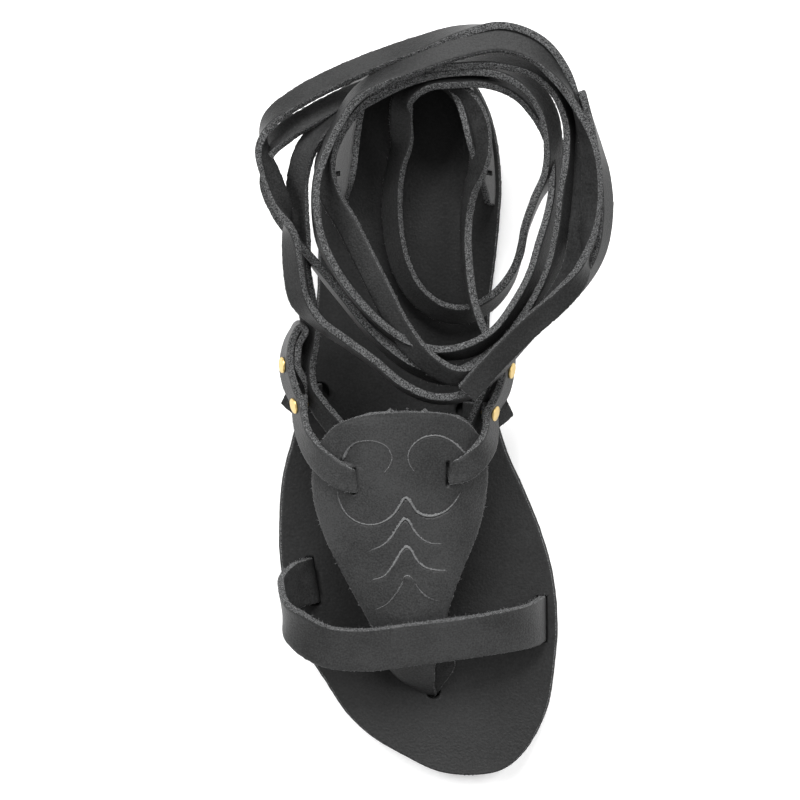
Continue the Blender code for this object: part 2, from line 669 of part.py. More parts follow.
def main():
    for item in list(bpy.data.objects):
        bpy.data.objects.remove(item)
    parts, cutters = collection("sandal"), collection("cutters")
    black = leather("black leather", COLOUR_BLACK, 0.5)
    sole_black = leather("sole", COLOUR_BLACK, 0.7)
    brass = leather("brass", COLOUR_BRASS, 0.3, 1.0)

    plate("outsole", sole_outline(), bed_height, ground_height, division_lines(), parts, sole_black)
    insole = plate("insole", sole_outline(INSOLE_INSET),
                   lambda y: bed_height(y) + INSOLE_THICKNESS,
                   lambda y: bed_height(y) + CLEARANCE, division_lines(), parts, black)

    upper = make_vamp(parts, black)
    toe_rows = on_instep(seat_on_outsole(TOE_STRAP_ROWS), TOE_STRAP_THICKNESS, TOE_SEATS)
    centre, lean, _ = strap_frame(toe_rows, 60)
    toe_strap = strap("toe_strap", centre, lean, TOE_STRAP_WIDTH, TOE_STRAP_THICKNESS, cutters)
    boolean(upper, "UNION", hide_cutter(toe_strap))
    boolean(insole, "DIFFERENCE", slot_cutter("toe_slot_left", toe_rows, TOE_STRAP_WIDTH,
                                              TOE_STRAP_THICKNESS, cutters))
    boolean(insole, "DIFFERENCE", slot_cutter("toe_slot_right", toe_rows[::-1], TOE_STRAP_WIDTH,
                                              TOE_STRAP_THICKNESS, cutters))
    tip = VAMP_ROWS[-1]
    thong_spot = Matrix.Translation(((tip[1] + tip[2]) / 2 * BALL_WIDTH, (tip[0] + 0.0015) * LENGTH, BED))
    thong_radius = math.hypot((tip[2] - tip[1]) * BALL_WIDTH, VAMP_THICKNESS) / 2 + THONG_ROOM
    boolean(insole, "DIFFERENCE", cylinder_cutter("thong_hole", thong_radius, 4 * INSOLE_THICKNESS,
                                                  thong_spot, cutters))

    sides = (
        ("left", SIDE_STRAP_LEFT, SIDE_END_LEFT, 1, STAY_LEFT),
        ("right", SIDE_STRAP_RIGHT, SIDE_END_RIGHT, -1, STAY_RIGHT),
    )
    for side, rows, ends, inward, stay_rows in sides:
        made, spots = side_strap(f"side_strap_{side}", rows, ends, inward, cutters)
        boolean(upper, "UNION", made)
        boolean(upper, "UNION", stay(f"stay_{side}", stay_rows, spots["front"], cutters))
        hole = Matrix.Translation((stay_rows[0][0] * BALL_WIDTH, stay_rows[0][1] * LENGTH, BED))
        boolean(insole, "DIFFERENCE", cylinder_cutter(f"stay_hole_{side}", STAY_HOLE_RADIUS,
                                                      4 * INSOLE_THICKNESS, hole, cutters))
        stacks = {"front": SIDE_STRAP_THICKNESS + STAY_THICKNESS, "back": SIDE_STRAP_THICKNESS + FOLD_GAPS[1]}
        for key, spot in spots.items():
            make_rivet(f"rivet_{side}_{key}", spot, stacks[key], parts, brass)
            cut_rivet_room(upper, f"rivet_{side}_{key}", spot, stacks[key], cutters)

    counter_rest = make_counter(parts, cutters, black)
    loop = SIDE_STRAP_RIGHT[-1]
    loop_rest = (loop[1] * LENGTH, BED + loop[2] * INSTEP_HEIGHT + SIDE_STRAP_WIDTH / 2)
    make_coil(counter_rest, loop_rest, parts, black)
    for side, rows in (("left", TIE_LEAD_LEFT), ("right", TIE_LEAD_RIGHT)):
        centre, lean, _ = strap_frame(rows, 30)
        strap(f"tie_lead_{side}", centre, lean, TIE_WIDTH, TIE_THICKNESS, parts, black)


main()
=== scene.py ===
# %% [markdown]
# # A lace-up leather sandal
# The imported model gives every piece's size and place. This script loads it as a fixed frame and dresses it: each
# strap, plate and tie becomes fine leather with a grain side, a napped flesh side and a rough cut edge. Everything is
# in metres, with the toe towards -Y, the heel towards +Y and the floor at Z = 0.
# %% Load the frame
import math

import bpy
import numpy as np
from mathutils import Matrix, Vector


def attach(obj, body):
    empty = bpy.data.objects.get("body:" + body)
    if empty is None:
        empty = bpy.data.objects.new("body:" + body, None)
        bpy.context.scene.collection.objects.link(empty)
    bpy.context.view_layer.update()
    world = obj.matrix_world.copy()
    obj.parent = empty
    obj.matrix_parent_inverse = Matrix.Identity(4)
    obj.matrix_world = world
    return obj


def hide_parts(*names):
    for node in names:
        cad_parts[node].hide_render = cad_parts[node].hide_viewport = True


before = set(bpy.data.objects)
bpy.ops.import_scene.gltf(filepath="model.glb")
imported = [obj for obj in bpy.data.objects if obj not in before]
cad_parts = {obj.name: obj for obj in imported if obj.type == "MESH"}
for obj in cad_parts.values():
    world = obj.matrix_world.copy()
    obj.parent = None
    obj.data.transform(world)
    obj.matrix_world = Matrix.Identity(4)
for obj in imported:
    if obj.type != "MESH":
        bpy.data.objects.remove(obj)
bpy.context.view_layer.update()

# %% [markdown]
# ## Camera, floor and light
# The photograph looks straight down from a long way off, with the toe at the bottom of the picture. A long lens
# 1.2 m over the floor gives the same slight spread of what stands higher. The floor is white and the light soft and
# even, as in a light tent: large lamps all round, with less light from straight above so that black leather stays
# black.
# %% Camera
CAMERA_SPOT = (-0.00657, 0.00464, 1.2)
HALF_FIELD = 0.11985
SENSOR = 36.0
PICTURE_SIDE = 800

camera_data = bpy.data.cameras.new("camera")
camera_data.sensor_width = SENSOR
camera_data.lens = SENSOR / 2 / HALF_FIELD
camera = bpy.data.objects.new("camera", camera_data)
camera.location = CAMERA_SPOT
bpy.context.scene.collection.objects.link(camera)
bpy.context.scene.camera = camera
bpy.context.scene.view_settings.view_transform = "Standard"
print("lens:", round(camera_data.lens, 1), "mm")


def from_picture(rows):
    """Places in metres for rows of picture x, picture y and height over the floor in millimetres.

    A pixel's reach grows with its distance from the camera, so x and y are the pixel's steps from the picture's
    middle times that reach.
    """
    table = np.array(rows, float)
    height = table[:, 2] / 1000
    reach = (CAMERA_SPOT[2] - height) * HALF_FIELD / (PICTURE_SIDE / 2)
    across = CAMERA_SPOT[0] + (table[:, 0] - PICTURE_SIDE / 2) * reach
    along = CAMERA_SPOT[1] + (PICTURE_SIDE / 2 - table[:, 1]) * reach
    return np.column_stack([across, along, height])


# %% Nodes in one call
def add_node(tree, kind, inputs=None, **settings):
    """New shader node with its settings, whose inputs are values or links to other sockets."""
    made = tree.nodes.new(kind)
    for name, value in settings.items():
        setattr(made, name, value)
    for name, value in (inputs or {}).items():
        if isinstance(value, bpy.types.NodeSocket):
            tree.links.new(value, made.inputs[name])
        else:
            made.inputs[name].default_value = value
    return made


def new_material(name):
    """Material with an empty node tree, returned with that tree, ready for a Principled BSDF."""
    made = bpy.data.materials.new(name)
    made.use_nodes = True
    made.node_tree.nodes.clear()
    return made, made.node_tree


# %% Floor and light
FLOOR_REACH = 3.0
FLOOR_WHITE = (0.92, 0.92, 0.92, 1.0)
FLOOR_GLOW = 0.22
TENT_GREY = 0.32
# Columns: x, y, z, side, watts
LAMPS = (
    (-1.1, 0.60, 1.25, 0.9, 26.0),
    (1.1, 0.50, 1.25, 0.9, 17.0),
    (0.05, -1.3, 1.10, 1.1, 6.0),
    (0.0, 1.2, 1.20, 0.7, 30.0),
)

corners = [(-FLOOR_REACH, -FLOOR_REACH, 0), (FLOOR_REACH, -FLOOR_REACH, 0),
           (FLOOR_REACH, FLOOR_REACH, 0), (-FLOOR_REACH, FLOOR_REACH, 0)]
floor_mesh = bpy.data.meshes.new("floor")
floor_mesh.from_pydata(corners, [], [(0, 1, 2, 3)])
floor = bpy.data.objects.new("floor", floor_mesh)
bpy.context.scene.collection.objects.link(floor)
floor_material, tree = new_material("floor paper")
paper = add_node(tree, "ShaderNodeBsdfDiffuse", {"Color": FLOOR_WHITE})
glow = add_node(tree, "ShaderNodeEmission", {"Color": (1, 1, 1, 1), "Strength": FLOOR_GLOW})
lit_paper = add_node(tree, "ShaderNodeAddShader", {0: paper.outputs["BSDF"], 1: glow.outputs["Emission"]})
add_node(tree, "ShaderNodeOutputMaterial", {"Surface": lit_paper.outputs["Shader"]})
floor_mesh.materials.append(floor_material)

world = bpy.data.worlds.new("light tent")
bpy.context.scene.world = world
world.use_nodes = True
world.node_tree.nodes["Background"].inputs["Color"].default_value = (1, 1, 1, 1)
world.node_tree.nodes["Background"].inputs["Strength"].default_value = TENT_GREY
for number, (x, y, z, side, watts) in enumerate(LAMPS):
    lamp = bpy.data.lights.new(f"lamp_{number}", "AREA")
    lamp.size = side
    lamp.energy = watts
    holder = bpy.data.objects.new(f"lamp_{number}", lamp)
    holder.visible_camera = False
    holder.location = (x, y, z)
    holder.rotation_euler = Vector((-x, -y, -z)).to_track_quat("-Z", "Y").to_euler()
    bpy.context.scene.collection.objects.link(holder)
print("lamps:", len(LAMPS))

# %% [markdown]
# ## The finish of the leather
# A strap of vegetable-tanned leather has three surfaces. The grain side is dense, smooth and faintly pebbled, and
# carries the finish. The flesh side is a dull nap. The cut edge shows the loose fibres, which catch the light, so it
# looks pale and speckled. Each is a node group that gives a height and a tone, and one material mixes them by two
# attributes of the mesh: cut is 1 on cut edges, flesh is 1 on the flesh side. A third, pale, mixes in a flat light
# grey: the stray fibres' own colour, and on the cuts' lips also a painted highlight.
# %% Groups for grain, fibre and nap
def new_group(name, inputs, outputs):
    """Shader node group with named float or vector inputs and float outputs."""
    group = bpy.data.node_groups.new(name, "ShaderNodeTree")
    for label, kind, value in inputs:
        socket = group.interface.new_socket(label, in_out="INPUT", socket_type=f"NodeSocket{kind}")
        if kind == "Float":
            socket.default_value = value
    for label in outputs:
        group.interface.new_socket(label, in_out="OUTPUT", socket_type="NodeSocketFloat")
    return group, group.nodes.new("NodeGroupInput").outputs, group.nodes.new("NodeGroupOutput").inputs


def times(tree, value, factor):
    return add_node(tree, "ShaderNodeMath", {0: value, 1: factor}, operation="MULTIPLY").outputs[0]


def noise(tree, place, scale, detail=3.0, roughness=0.5):
    return add_node(tree, "ShaderNodeTexNoise", {"Vector": place, "Scale": scale, "Detail": detail,
                                                 "Roughness": roughness}).outputs["Fac"]


def spread(tree, value, low, high):
    """Value stretched so that low becomes 0 and high becomes 1, and kept within them."""
    return add_node(tree, "ShaderNodeMapRange", {"Value": value, "From Min": low, "From Max": high}).outputs[0]


def grain_group():
    """Grain side: fine pebbles from Voronoi cells, broken by noise; the tone varies slowly with faint scuffs."""
    inputs = (("Place", "Vector", None), ("Pebbles", "Float", 1500.0))
    group, given, result = new_group("leather grain", inputs, ("Height", "Tone"))
    cells = add_node(group, "ShaderNodeTexVoronoi", {"Vector": given["Place"], "Scale": given["Pebbles"]},
                     feature="SMOOTH_F1")
    fine = noise(group, given["Place"], times(group, given["Pebbles"], 1.6), 4.0, 0.65)
    group.links.new(add_node(group, "ShaderNodeMath", {0: fine, 1: cells.outputs["Distance"]},
                             operation="SUBTRACT").outputs[0], result["Height"])
    broad = noise(group, given["Place"], times(group, given["Pebbles"], 0.03), 3.0)
    speck = noise(group, given["Place"], times(group, given["Pebbles"], 1.1), 2.0)
    group.links.new(add_node(group, "ShaderNodeMath", {0: times(group, broad, 0.45), 1: times(group, speck, 0.55)},
                             operation="ADD").outputs[0], result["Tone"])
    return group


def fibre_group():
    """Cut edge: a tangle of short fibres, from two noises with hard contrast."""
    inputs = (("Place", "Vector", None), ("Fibres", "Float", 1900.0))
    group, given, result = new_group("cut fibre", inputs, ("Height", "Tone"))
    coarse = noise(group, given["Place"], given["Fibres"], 4.0, 0.7)
    fine = noise(group, given["Place"], times(group, given["Fibres"], 2.3), 2.0, 0.6)
    both = add_node(group, "ShaderNodeMath", {0: times(group, coarse, 0.65), 1: times(group, fine, 0.35)},
                    operation="ADD").outputs[0]
    group.links.new(spread(group, both, 0.38, 0.62), result["Height"])
    group.links.new(spread(group, both, 0.44, 0.62), result["Tone"])
    return group


def nap_group():
    """Flesh side: a soft, uneven nap with fibre bundles."""
    inputs = (("Place", "Vector", None), ("Nap", "Float", 1500.0))
    group, given, result = new_group("flesh nap", inputs, ("Height", "Tone"))
    tufts = noise(group, given["Place"], given["Nap"], 5.0, 0.7)
    broad = noise(group, given["Place"], times(group, given["Nap"], 0.12), 2.0)
    group.links.new(spread(group, tufts, 0.3, 0.7), result["Height"])
    group.links.new(add_node(group, "ShaderNodeMath", {0: times(group, tufts, 0.7), 1: times(group, broad, 0.3)},
                             operation="ADD").outputs[0], result["Tone"])
    return group


GRAIN, FIBRE, NAP = grain_group(), fibre_group(), nap_group()


# %% The leather material
def mix_colour(tree, share, low, high):
    made = add_node(tree, "ShaderNodeMix", {0: share, 6: low, 7: high}, data_type="RGBA")
    return made.outputs[2]


def mix_value(tree, share, low, high):
    return add_node(tree, "ShaderNodeMix", {0: share, 2: low, 3: high}).outputs[0]


def grey(level):
    """Neutral black leather has the same level in red, green and blue, a little less red than blue."""
    return (level * 0.99, level, level * 1.01, 1.0)


# Flat light grey: the stray fibres' own colour, and on the cuts' lips also a painted highlight.
PALE_FIBRE_AND_HIGHLIGHT = 0.22


def leather_material(name, grain, flesh, cut, gloss, specular, pebbles=1500.0, relief=1.0):
    """Leather whose grain, flesh and cut levels are (dark, light) pairs; gloss is the grain side's roughness."""
    material, tree = new_material(name)
    place = add_node(tree, "ShaderNodeTexCoord").outputs["Object"]
    cut_share = add_node(tree, "ShaderNodeAttribute", attribute_name="cut").outputs["Fac"]
    flesh_share = add_node(tree, "ShaderNodeAttribute", attribute_name="flesh").outputs["Fac"]
    pebble = add_node(tree, "ShaderNodeGroup", node_tree=GRAIN)
    fibre = add_node(tree, "ShaderNodeGroup", node_tree=FIBRE)
    nap = add_node(tree, "ShaderNodeGroup", node_tree=NAP)
    for group in (pebble, fibre, nap):
        tree.links.new(place, group.inputs["Place"])
    pebble.inputs["Pebbles"].default_value = pebbles
    ragged = mix_value(tree, 0.22, cut_share, fibre.outputs["Height"])
    cut_mask = spread(tree, ragged, 0.26, 0.44)
    fibre_and_highlight_share = add_node(tree, "ShaderNodeAttribute", attribute_name="pale").outputs["Fac"]
    flesh_mask = spread(tree, flesh_share, 0.4, 0.6)
    grain_colour = mix_colour(tree, spread(tree, pebble.outputs["Tone"], 0.38, 0.62), grey(grain[0]), grey(grain[1]))
    flesh_colour = mix_colour(tree, spread(tree, nap.outputs["Tone"], 0.35, 0.65), grey(flesh[0]), grey(flesh[1]))
    cut_colour = mix_colour(tree, fibre.outputs["Tone"], grey(cut[0]), grey(cut[1]))
    faces = mix_colour(tree, flesh_mask, grain_colour, flesh_colour)
    # The pale attribute mixes in that grey: fibre colour, and a painted highlight on the cuts' lips.
    colour = mix_colour(tree, fibre_and_highlight_share, mix_colour(tree, cut_mask, faces, cut_colour), grey(PALE_FIBRE_AND_HIGHLIGHT))
    rough = mix_value(tree, flesh_mask, mix_value(tree, pebble.outputs["Tone"], gloss - 0.06, gloss + 0.06), 0.9)
    rough = mix_value(tree, cut_mask, rough, 0.92)
    height = mix_value(tree, flesh_mask, times(tree, pebble.outputs["Height"], 0.8 * relief), nap.outputs["Height"])
    height = mix_value(tree, cut_mask, height, times(tree, fibre.outputs["Height"], 2.2))
    bump = add_node(tree, "ShaderNodeBump", {"Height": height, "Strength": 1.0, "Distance": 0.00011})
    shader = add_node(tree, "ShaderNodeBsdfPrincipled", {
        "Base Color": colour, "Roughness": rough, "Specular IOR Level": specular, "Normal": bump.outputs["Normal"]})
    add_node(tree, "ShaderNodeOutputMaterial", {"Surface": shader.outputs["BSDF"]})
    return material


UPPER_LEATHER = leather_material("upper leather", (0.012, 0.034), (0.004, 0.030), (0.012, 0.20), 0.48, 0.28)
TIE_LEATHER = leather_material("tie leather", (0.008, 0.022), (0.003, 0.026), (0.010, 0.185), 0.48, 0.20)
INSOLE_LEATHER = leather_material("insole leather", (0.009, 0.016), (0.008, 0.03), (0.012, 0.22), 0.46, 0.22, 1200.0)
COUNTER_LEATHER = leather_material("counter leather", (0.008, 0.022), (0.004, 0.028), (0.012, 0.20), 0.50, 0.20)
print("leathers:", [m.name for m in (UPPER_LEATHER, TIE_LEATHER, INSOLE_LEATHER, COUNTER_LEATHER)])


# %% Rubber and brass
def rubber_material():
    """Outsole rubber: matt black with a fine moulded stipple."""
    material, tree = new_material("outsole rubber")
    place = add_node(tree, "ShaderNodeTexCoord").outputs["Object"]
    stipple = noise(tree, place, 2600.0, 3.0)
    dust = spread(tree, noise(tree, place, 55.0, 5.0, 0.7), 0.5, 0.75)
    colour = mix_colour(tree, times(tree, dust, 0.35), grey(0.018), grey(0.060))
    bump = add_node(tree, "ShaderNodeBump", {"Height": stipple, "Strength": 1.0, "Distance": 0.0001})
    shader = add_node(tree, "ShaderNodeBsdfPrincipled", {
        "Base Color": colour, "Roughness": mix_value(tree, dust, 0.62, 0.8), "Specular IOR Level": 0.4,
        "Normal": bump.outputs["Normal"]})
    add_node(tree, "ShaderNodeOutputMaterial", {"Surface": shader.outputs["BSDF"]})
    return material


def brass_material():
    """Plain brass, turned and a little tarnished: fine noise in tone and gloss."""
    material, tree = new_material("brass")
    place = add_node(tree, "ShaderNodeTexCoord").outputs["Object"]
    tarnish = noise(tree, place, 900.0, 4.0, 0.6)
    colour = mix_colour(tree, tarnish, (0.50, 0.36, 0.13, 1.0), (0.66, 0.50, 0.22, 1.0))
    bump = add_node(tree, "ShaderNodeBump", {"Height": tarnish, "Strength": 0.5, "Distance": 0.00005})
    shader = add_node(tree, "ShaderNodeBsdfPrincipled", {
        "Base Color": colour, "Metallic": 1.0, "Roughness": mix_value(tree, tarnish, 0.34, 0.46),
        "Normal": bump.outputs["Normal"]})
    add_node(tree, "ShaderNodeOutputMaterial", {"Surface": shader.outputs["BSDF"]})
    return material


RUBBER, BRASS = rubber_material(), brass_material()

# %% [markdown]
# ## Leather as a surface with two faces
# Every piece of the sandal is flat leather, bent. So each is worked out as the middle surface of the leather, a grid
# of places that is a function of two parameters. Half the thickness to either side gives the grain face and the flesh
# face, and a few rings round the rim close them with a rounded, rough cut edge. The two attributes that the material
# reads are written as the grid is built.
# %% Curves through table rows
def smooth_rows(rows, count, places=3):
    """Smooth curve through a table's rows, with the same number of samples in each span between two rows.

    Each row's slope weighs its two spans by the square root of their lengths in the first places columns.
    """
    table = np.array(rows, float)
    gap = np.sqrt(np.linalg.norm(np.diff(table[:, :places], axis=0), axis=1))
    step = np.diff(table, axis=0) / gap[:, None]
    before, after = gap[:-1, None], gap[1:, None]
    inner = (step[:-1] * after + step[1:] * before) / (before + after)
    slope = np.vstack([step[:1], inner, step[-1:]])
    place = np.linspace(0, len(table) - 1, count)
    span = np.minimum(place.astype(int), len(table) - 2)
    t = (place - span)[:, None]
    start = table[span] * (1 + 2 * t) * (1 - t) ** 2 + slope[span] * gap[span][:, None] * t * (1 - t) ** 2
    end = table[span + 1] * t**2 * (3 - 2 * t) - slope[span + 1] * gap[span][:, None] * t**2 * (1 - t)
    return start + end


def even_rows(samples, step, places=3):
    """The same curve with its samples about one step apart along its first places columns."""
    way = np.concatenate([[0], np.cumsum(np.linalg.norm(np.diff(samples[:, :places], axis=0), axis=1))])
    even = np.linspace(0, way[-1], max(2, int(round(way[-1] / step)) + 1))
    return np.column_stack([np.interp(even, way, column) for column in samples.T]), way[-1]


def unit(vectors):
    return vectors / np.maximum(np.linalg.norm(vectors, axis=-1, keepdims=True), 1e-12)


def square_to(vectors, axis):
    """Unit vectors after the part that runs along axis is taken away."""
    return unit(vectors - axis * np.sum(vectors * axis, axis=-1, keepdims=True))


def rough(rng, count, wave):
    """Random line of numbers about 0, with bumps about wave samples long, that closes on itself."""
    width = max(1, int(wave))
    line = rng.normal(size=count)
    kernel = np.hanning(2 * width + 1)
    kernel /= np.sqrt(np.sum(kernel**2))
    return np.convolve(np.concatenate([line[-width:], line, line[:width]]), kernel, "valid")


# %% A leather piece from its middle surface
RIM_TURNS = (0.16, 0.36, 0.64, 0.84)
EDGE_PILL = 0.55


def rim_loop(rows, columns):
    """Numbers of a grid's border points, once round it from the first corner, in the order of its faces."""
    number = np.arange(rows * columns).reshape(rows, columns)
    return np.concatenate([number[0, :], number[1:, -1], number[-1, -2::-1], number[-2:0:-1, 0]])


def leather_arrays(grid, thickness, rim, seed, crown=0.10, upright=False, fuzz=0.00008, slant=None):
    """Points, faces, cut and flesh shares of a leather piece with the grid as its middle surface.

    The grain face lies half a thickness along the normal, which is columns times rows. The crown thins the
    leather at its border by that share. The rim stands out by rim, as a squared half round, with random fuzz. Slant
    is a function of the border's places: how far the flesh side stands out past the grain side.
    """
    rows, columns = grid.shape[:2]
    along, across = np.gradient(grid, axis=0), np.gradient(grid, axis=1)
    normal = unit(np.cross(across, along))
    if upright:
        normal = np.zeros_like(grid)
        normal[..., 2] = np.sign(np.mean(np.cross(across, along)[..., 2]))
    border = np.zeros((rows, columns))
    border[[0, -1], :] = 1
    border[:, [0, -1]] = 1
    half = np.broadcast_to(np.asarray(thickness) / 2, (rows, columns)) * (1 - crown * border)
    top = grid + normal * half[..., None]
    low = grid - normal * half[..., None]
    out = np.zeros_like(grid)
    out[0] -= unit(along[0])
    out[-1] += unit(along[-1])
    out[:, 0] -= unit(across[:, 0])
    out[:, -1] += unit(across[:, -1])
    loop = rim_loop(rows, columns)
    flat_grid, flat_normal, flat_half = grid.reshape(-1, 3)[loop], normal.reshape(-1, 3)[loop], half.ravel()[loop]
    outward = square_to(out.reshape(-1, 3)[loop], flat_normal)
    rng = np.random.default_rng(seed)
    skew = slant(flat_grid) if slant else np.zeros(len(loop))
    rings = []
    for turn in RIM_TURNS:
        angle = math.pi * turn
        lift = math.copysign(abs(math.cos(angle)) ** EDGE_PILL, math.cos(angle))
        reach = rim * math.sin(angle) ** EDGE_PILL + skew * (1 - lift) / 2 + fuzz * rough(rng, len(loop), 1)
        rise = flat_half * lift + 0.5 * fuzz * rough(rng, len(loop), 1)
        rings.append(flat_grid + outward * reach[:, None] + flat_normal * rise[:, None])
    points = np.vstack([top.reshape(-1, 3), low.reshape(-1, 3), *rings])
    count, size = rows * columns, len(loop)
    number = np.arange(count).reshape(rows, columns)
    quad = np.stack([number[:-1, :-1], number[:-1, 1:], number[1:, 1:], number[1:, :-1]], axis=-1).reshape(-1, 4)
    levels = [loop] + [2 * count + k * size + np.arange(size) for k in range(len(RIM_TURNS))] + [loop + count]
    strips = [np.column_stack([a, b, np.roll(b, -1), np.roll(a, -1)]) for a, b in zip(levels, levels[1:])]
    faces = np.vstack([quad, quad[:, ::-1] + count, *strips])
    cut = np.concatenate([np.zeros(2 * count), np.ones(size * len(RIM_TURNS))])
    flesh = np.concatenate([np.zeros(count), np.ones(count), np.full(size * len(RIM_TURNS), 0.5)])
    edge = {"place": flat_grid, "outward": outward, "normal": flat_normal, "half": flat_half}
    return {"points": points, "faces": [faces], "cut": cut, "flesh": flesh, "pale": 0 * cut, "edge": edge}


def add_fibres(piece, keep, per_metre, length, seed, thickness=0.00007, grain_side=0.5):
    """Adds stray fibres to the cut edge, as thin bent spikes with three sides.

    Places are drawn along the border where keep is true. Each spike runs outward, with some turn to either side and
    towards the grain side, and its middle is set off to one side so that it bends.
    """
    edge = piece["edge"]
    place, outward, normal, half = (edge[key] for key in ("place", "outward", "normal", "half"))
    rng = np.random.default_rng(seed)
    gap = np.linalg.norm(np.roll(place, -1, 0) - place, axis=1) * keep
    count = int(gap.sum() * per_metre)
    at = np.searchsorted(np.cumsum(gap), rng.uniform(0, gap.sum(), count)).clip(0, len(place) - 1)
    run = unit(np.roll(place, -1, 0) - place)[at]
    side = rng.normal(size=(count, 1))
    rise = rng.uniform(-0.9, 0.9, (count, 1))
    root = place[at] + run * rng.uniform(0, 0.0008, (count, 1)) + normal[at] * half[at][:, None] * rise
    way = unit(outward[at] + run * side * 0.8 + normal[at] * (rise * 0.5 + grain_side * rng.uniform(0, 1, (count, 1))))
    size = length * rng.lognormal(0.0, 0.5, (count, 1)).clip(0.3, 2.2)
    bend = unit(rng.normal(size=(count, 3))) * size * 0.28
    middle, tip = root + way * size * 0.55 + bend, root + way * size - bend * 0.4
    first = unit(np.cross(way, normal[at] + 0.01))
    second = np.cross(way, first)
    turns = np.arange(3) * 2 * math.pi / 3
    ring = first[:, None] * np.cos(turns)[None, :, None] + second[:, None] * np.sin(turns)[None, :, None]
    base = root[:, None] - way[:, None] * 0.0001 + ring * thickness
    waist = middle[:, None] + ring * thickness * 0.6
    points = np.concatenate([base, waist, tip[:, None]], axis=1).reshape(-1, 3)
    start = len(piece["points"]) + 7 * np.arange(count)[:, None]
    quads = np.vstack([start + np.array([k, (k + 1) % 3, 3 + (k + 1) % 3, 3 + k]) for k in range(3)])
    tris = np.vstack([start + np.array([3 + k, 3 + (k + 1) % 3, 6]) for k in range(3)] + [start + np.array([2, 1, 0])])
    piece["points"] = np.vstack([piece["points"], points])
    piece["faces"] += [quads, tris]
    piece["cut"] = np.concatenate([piece["cut"], np.ones(7 * count)])
    piece["flesh"] = np.concatenate([piece["flesh"], np.full(7 * count, 0.5)])
    piece["pale"] = np.concatenate([piece["pale"], np.ones(7 * count)])
    return piece


SHARES = ("cut", "flesh", "pale")


def join_arrays(*pieces):
    """Several pieces' arrays as one piece."""
    starts = np.cumsum([0] + [len(piece["points"]) for piece in pieces])
    joined = {key: np.concatenate([piece[key] for piece in pieces]) for key in ("points", *SHARES)}
    joined["faces"] = [faces + start for piece, start in zip(pieces, starts) for faces in piece["faces"]]
    return joined


def make_object(name, piece, material, slot, *nodes):
    """Mesh object from a piece's arrays, smooth shaded, riding on the body and standing for the CAD nodes."""
    mesh = bpy.data.meshes.new(name)
    faces = piece["faces"]
    corners = np.concatenate([part.ravel() for part in faces])
    sizes = np.concatenate([np.full(len(part), part.shape[1]) for part in faces])
    mesh.vertices.add(len(piece["points"]))
    mesh.vertices.foreach_set("co", piece["points"].astype(np.float32).ravel())
    mesh.loops.add(len(corners))
    mesh.loops.foreach_set("vertex_index", corners.astype(np.int32))
    mesh.polygons.add(len(sizes))
    starts = np.concatenate([[0], np.cumsum(sizes)[:-1]])
    mesh.polygons.foreach_set("loop_start", starts.astype(np.int32))
    mesh.update(calc_edges=True)
    mesh.validate()
    for label in SHARES:
        layer = mesh.attributes.new(label, "FLOAT", "POINT")
        layer.data.foreach_set("value", piece[label].astype(np.float32))
    mesh.shade_smooth()
    mesh.materials.append(material)
    made = bpy.data.objects.new(name, mesh)
    bpy.context.scene.collection.objects.link(made)
    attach(made, "root")
    if nodes:
        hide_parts(*nodes)
    print(name, "triangles:", int(sum(len(part) * (part.shape[1] - 2) for part in faces)))
    return made


# %% A strap along a line
STRAP_SHARES = np.array([-0.5, -0.47, -0.40, -0.22, 0.0, 0.22, 0.40, 0.47, 0.5])
STRAP_STEP = 0.0007


def strap_grid(centre, lean, width):
    """Middle surface of a strap: across it, a share of its width along lean, a unit vector at each place."""
    return centre[:, None] + lean[:, None] * (STRAP_SHARES * np.reshape(width, (-1, 1)))[..., None]


# %% [markdown]
# ## The two ties
# Two flat thongs, cut square at the ends, come from under the instep piece, climb inside the side straps and lie in a
# loose coil over the heel. Leather this stiff stands on edge as it coils, so most of the coil shows cut edges. A
# tie's route is a list of places read off the photograph, with a height and a turn: the turn is 0 where the tie
# stands on edge with its grain outward, 90 where it lies flat with its grain up, and below 0 where its top leans out
# and shows the flesh side. A smooth curve runs through them, and the strap's width follows the turn.
# %% Routes of the ties
TIE_WIDTH = 0.0078
TIE_THICKNESS = 0.0028
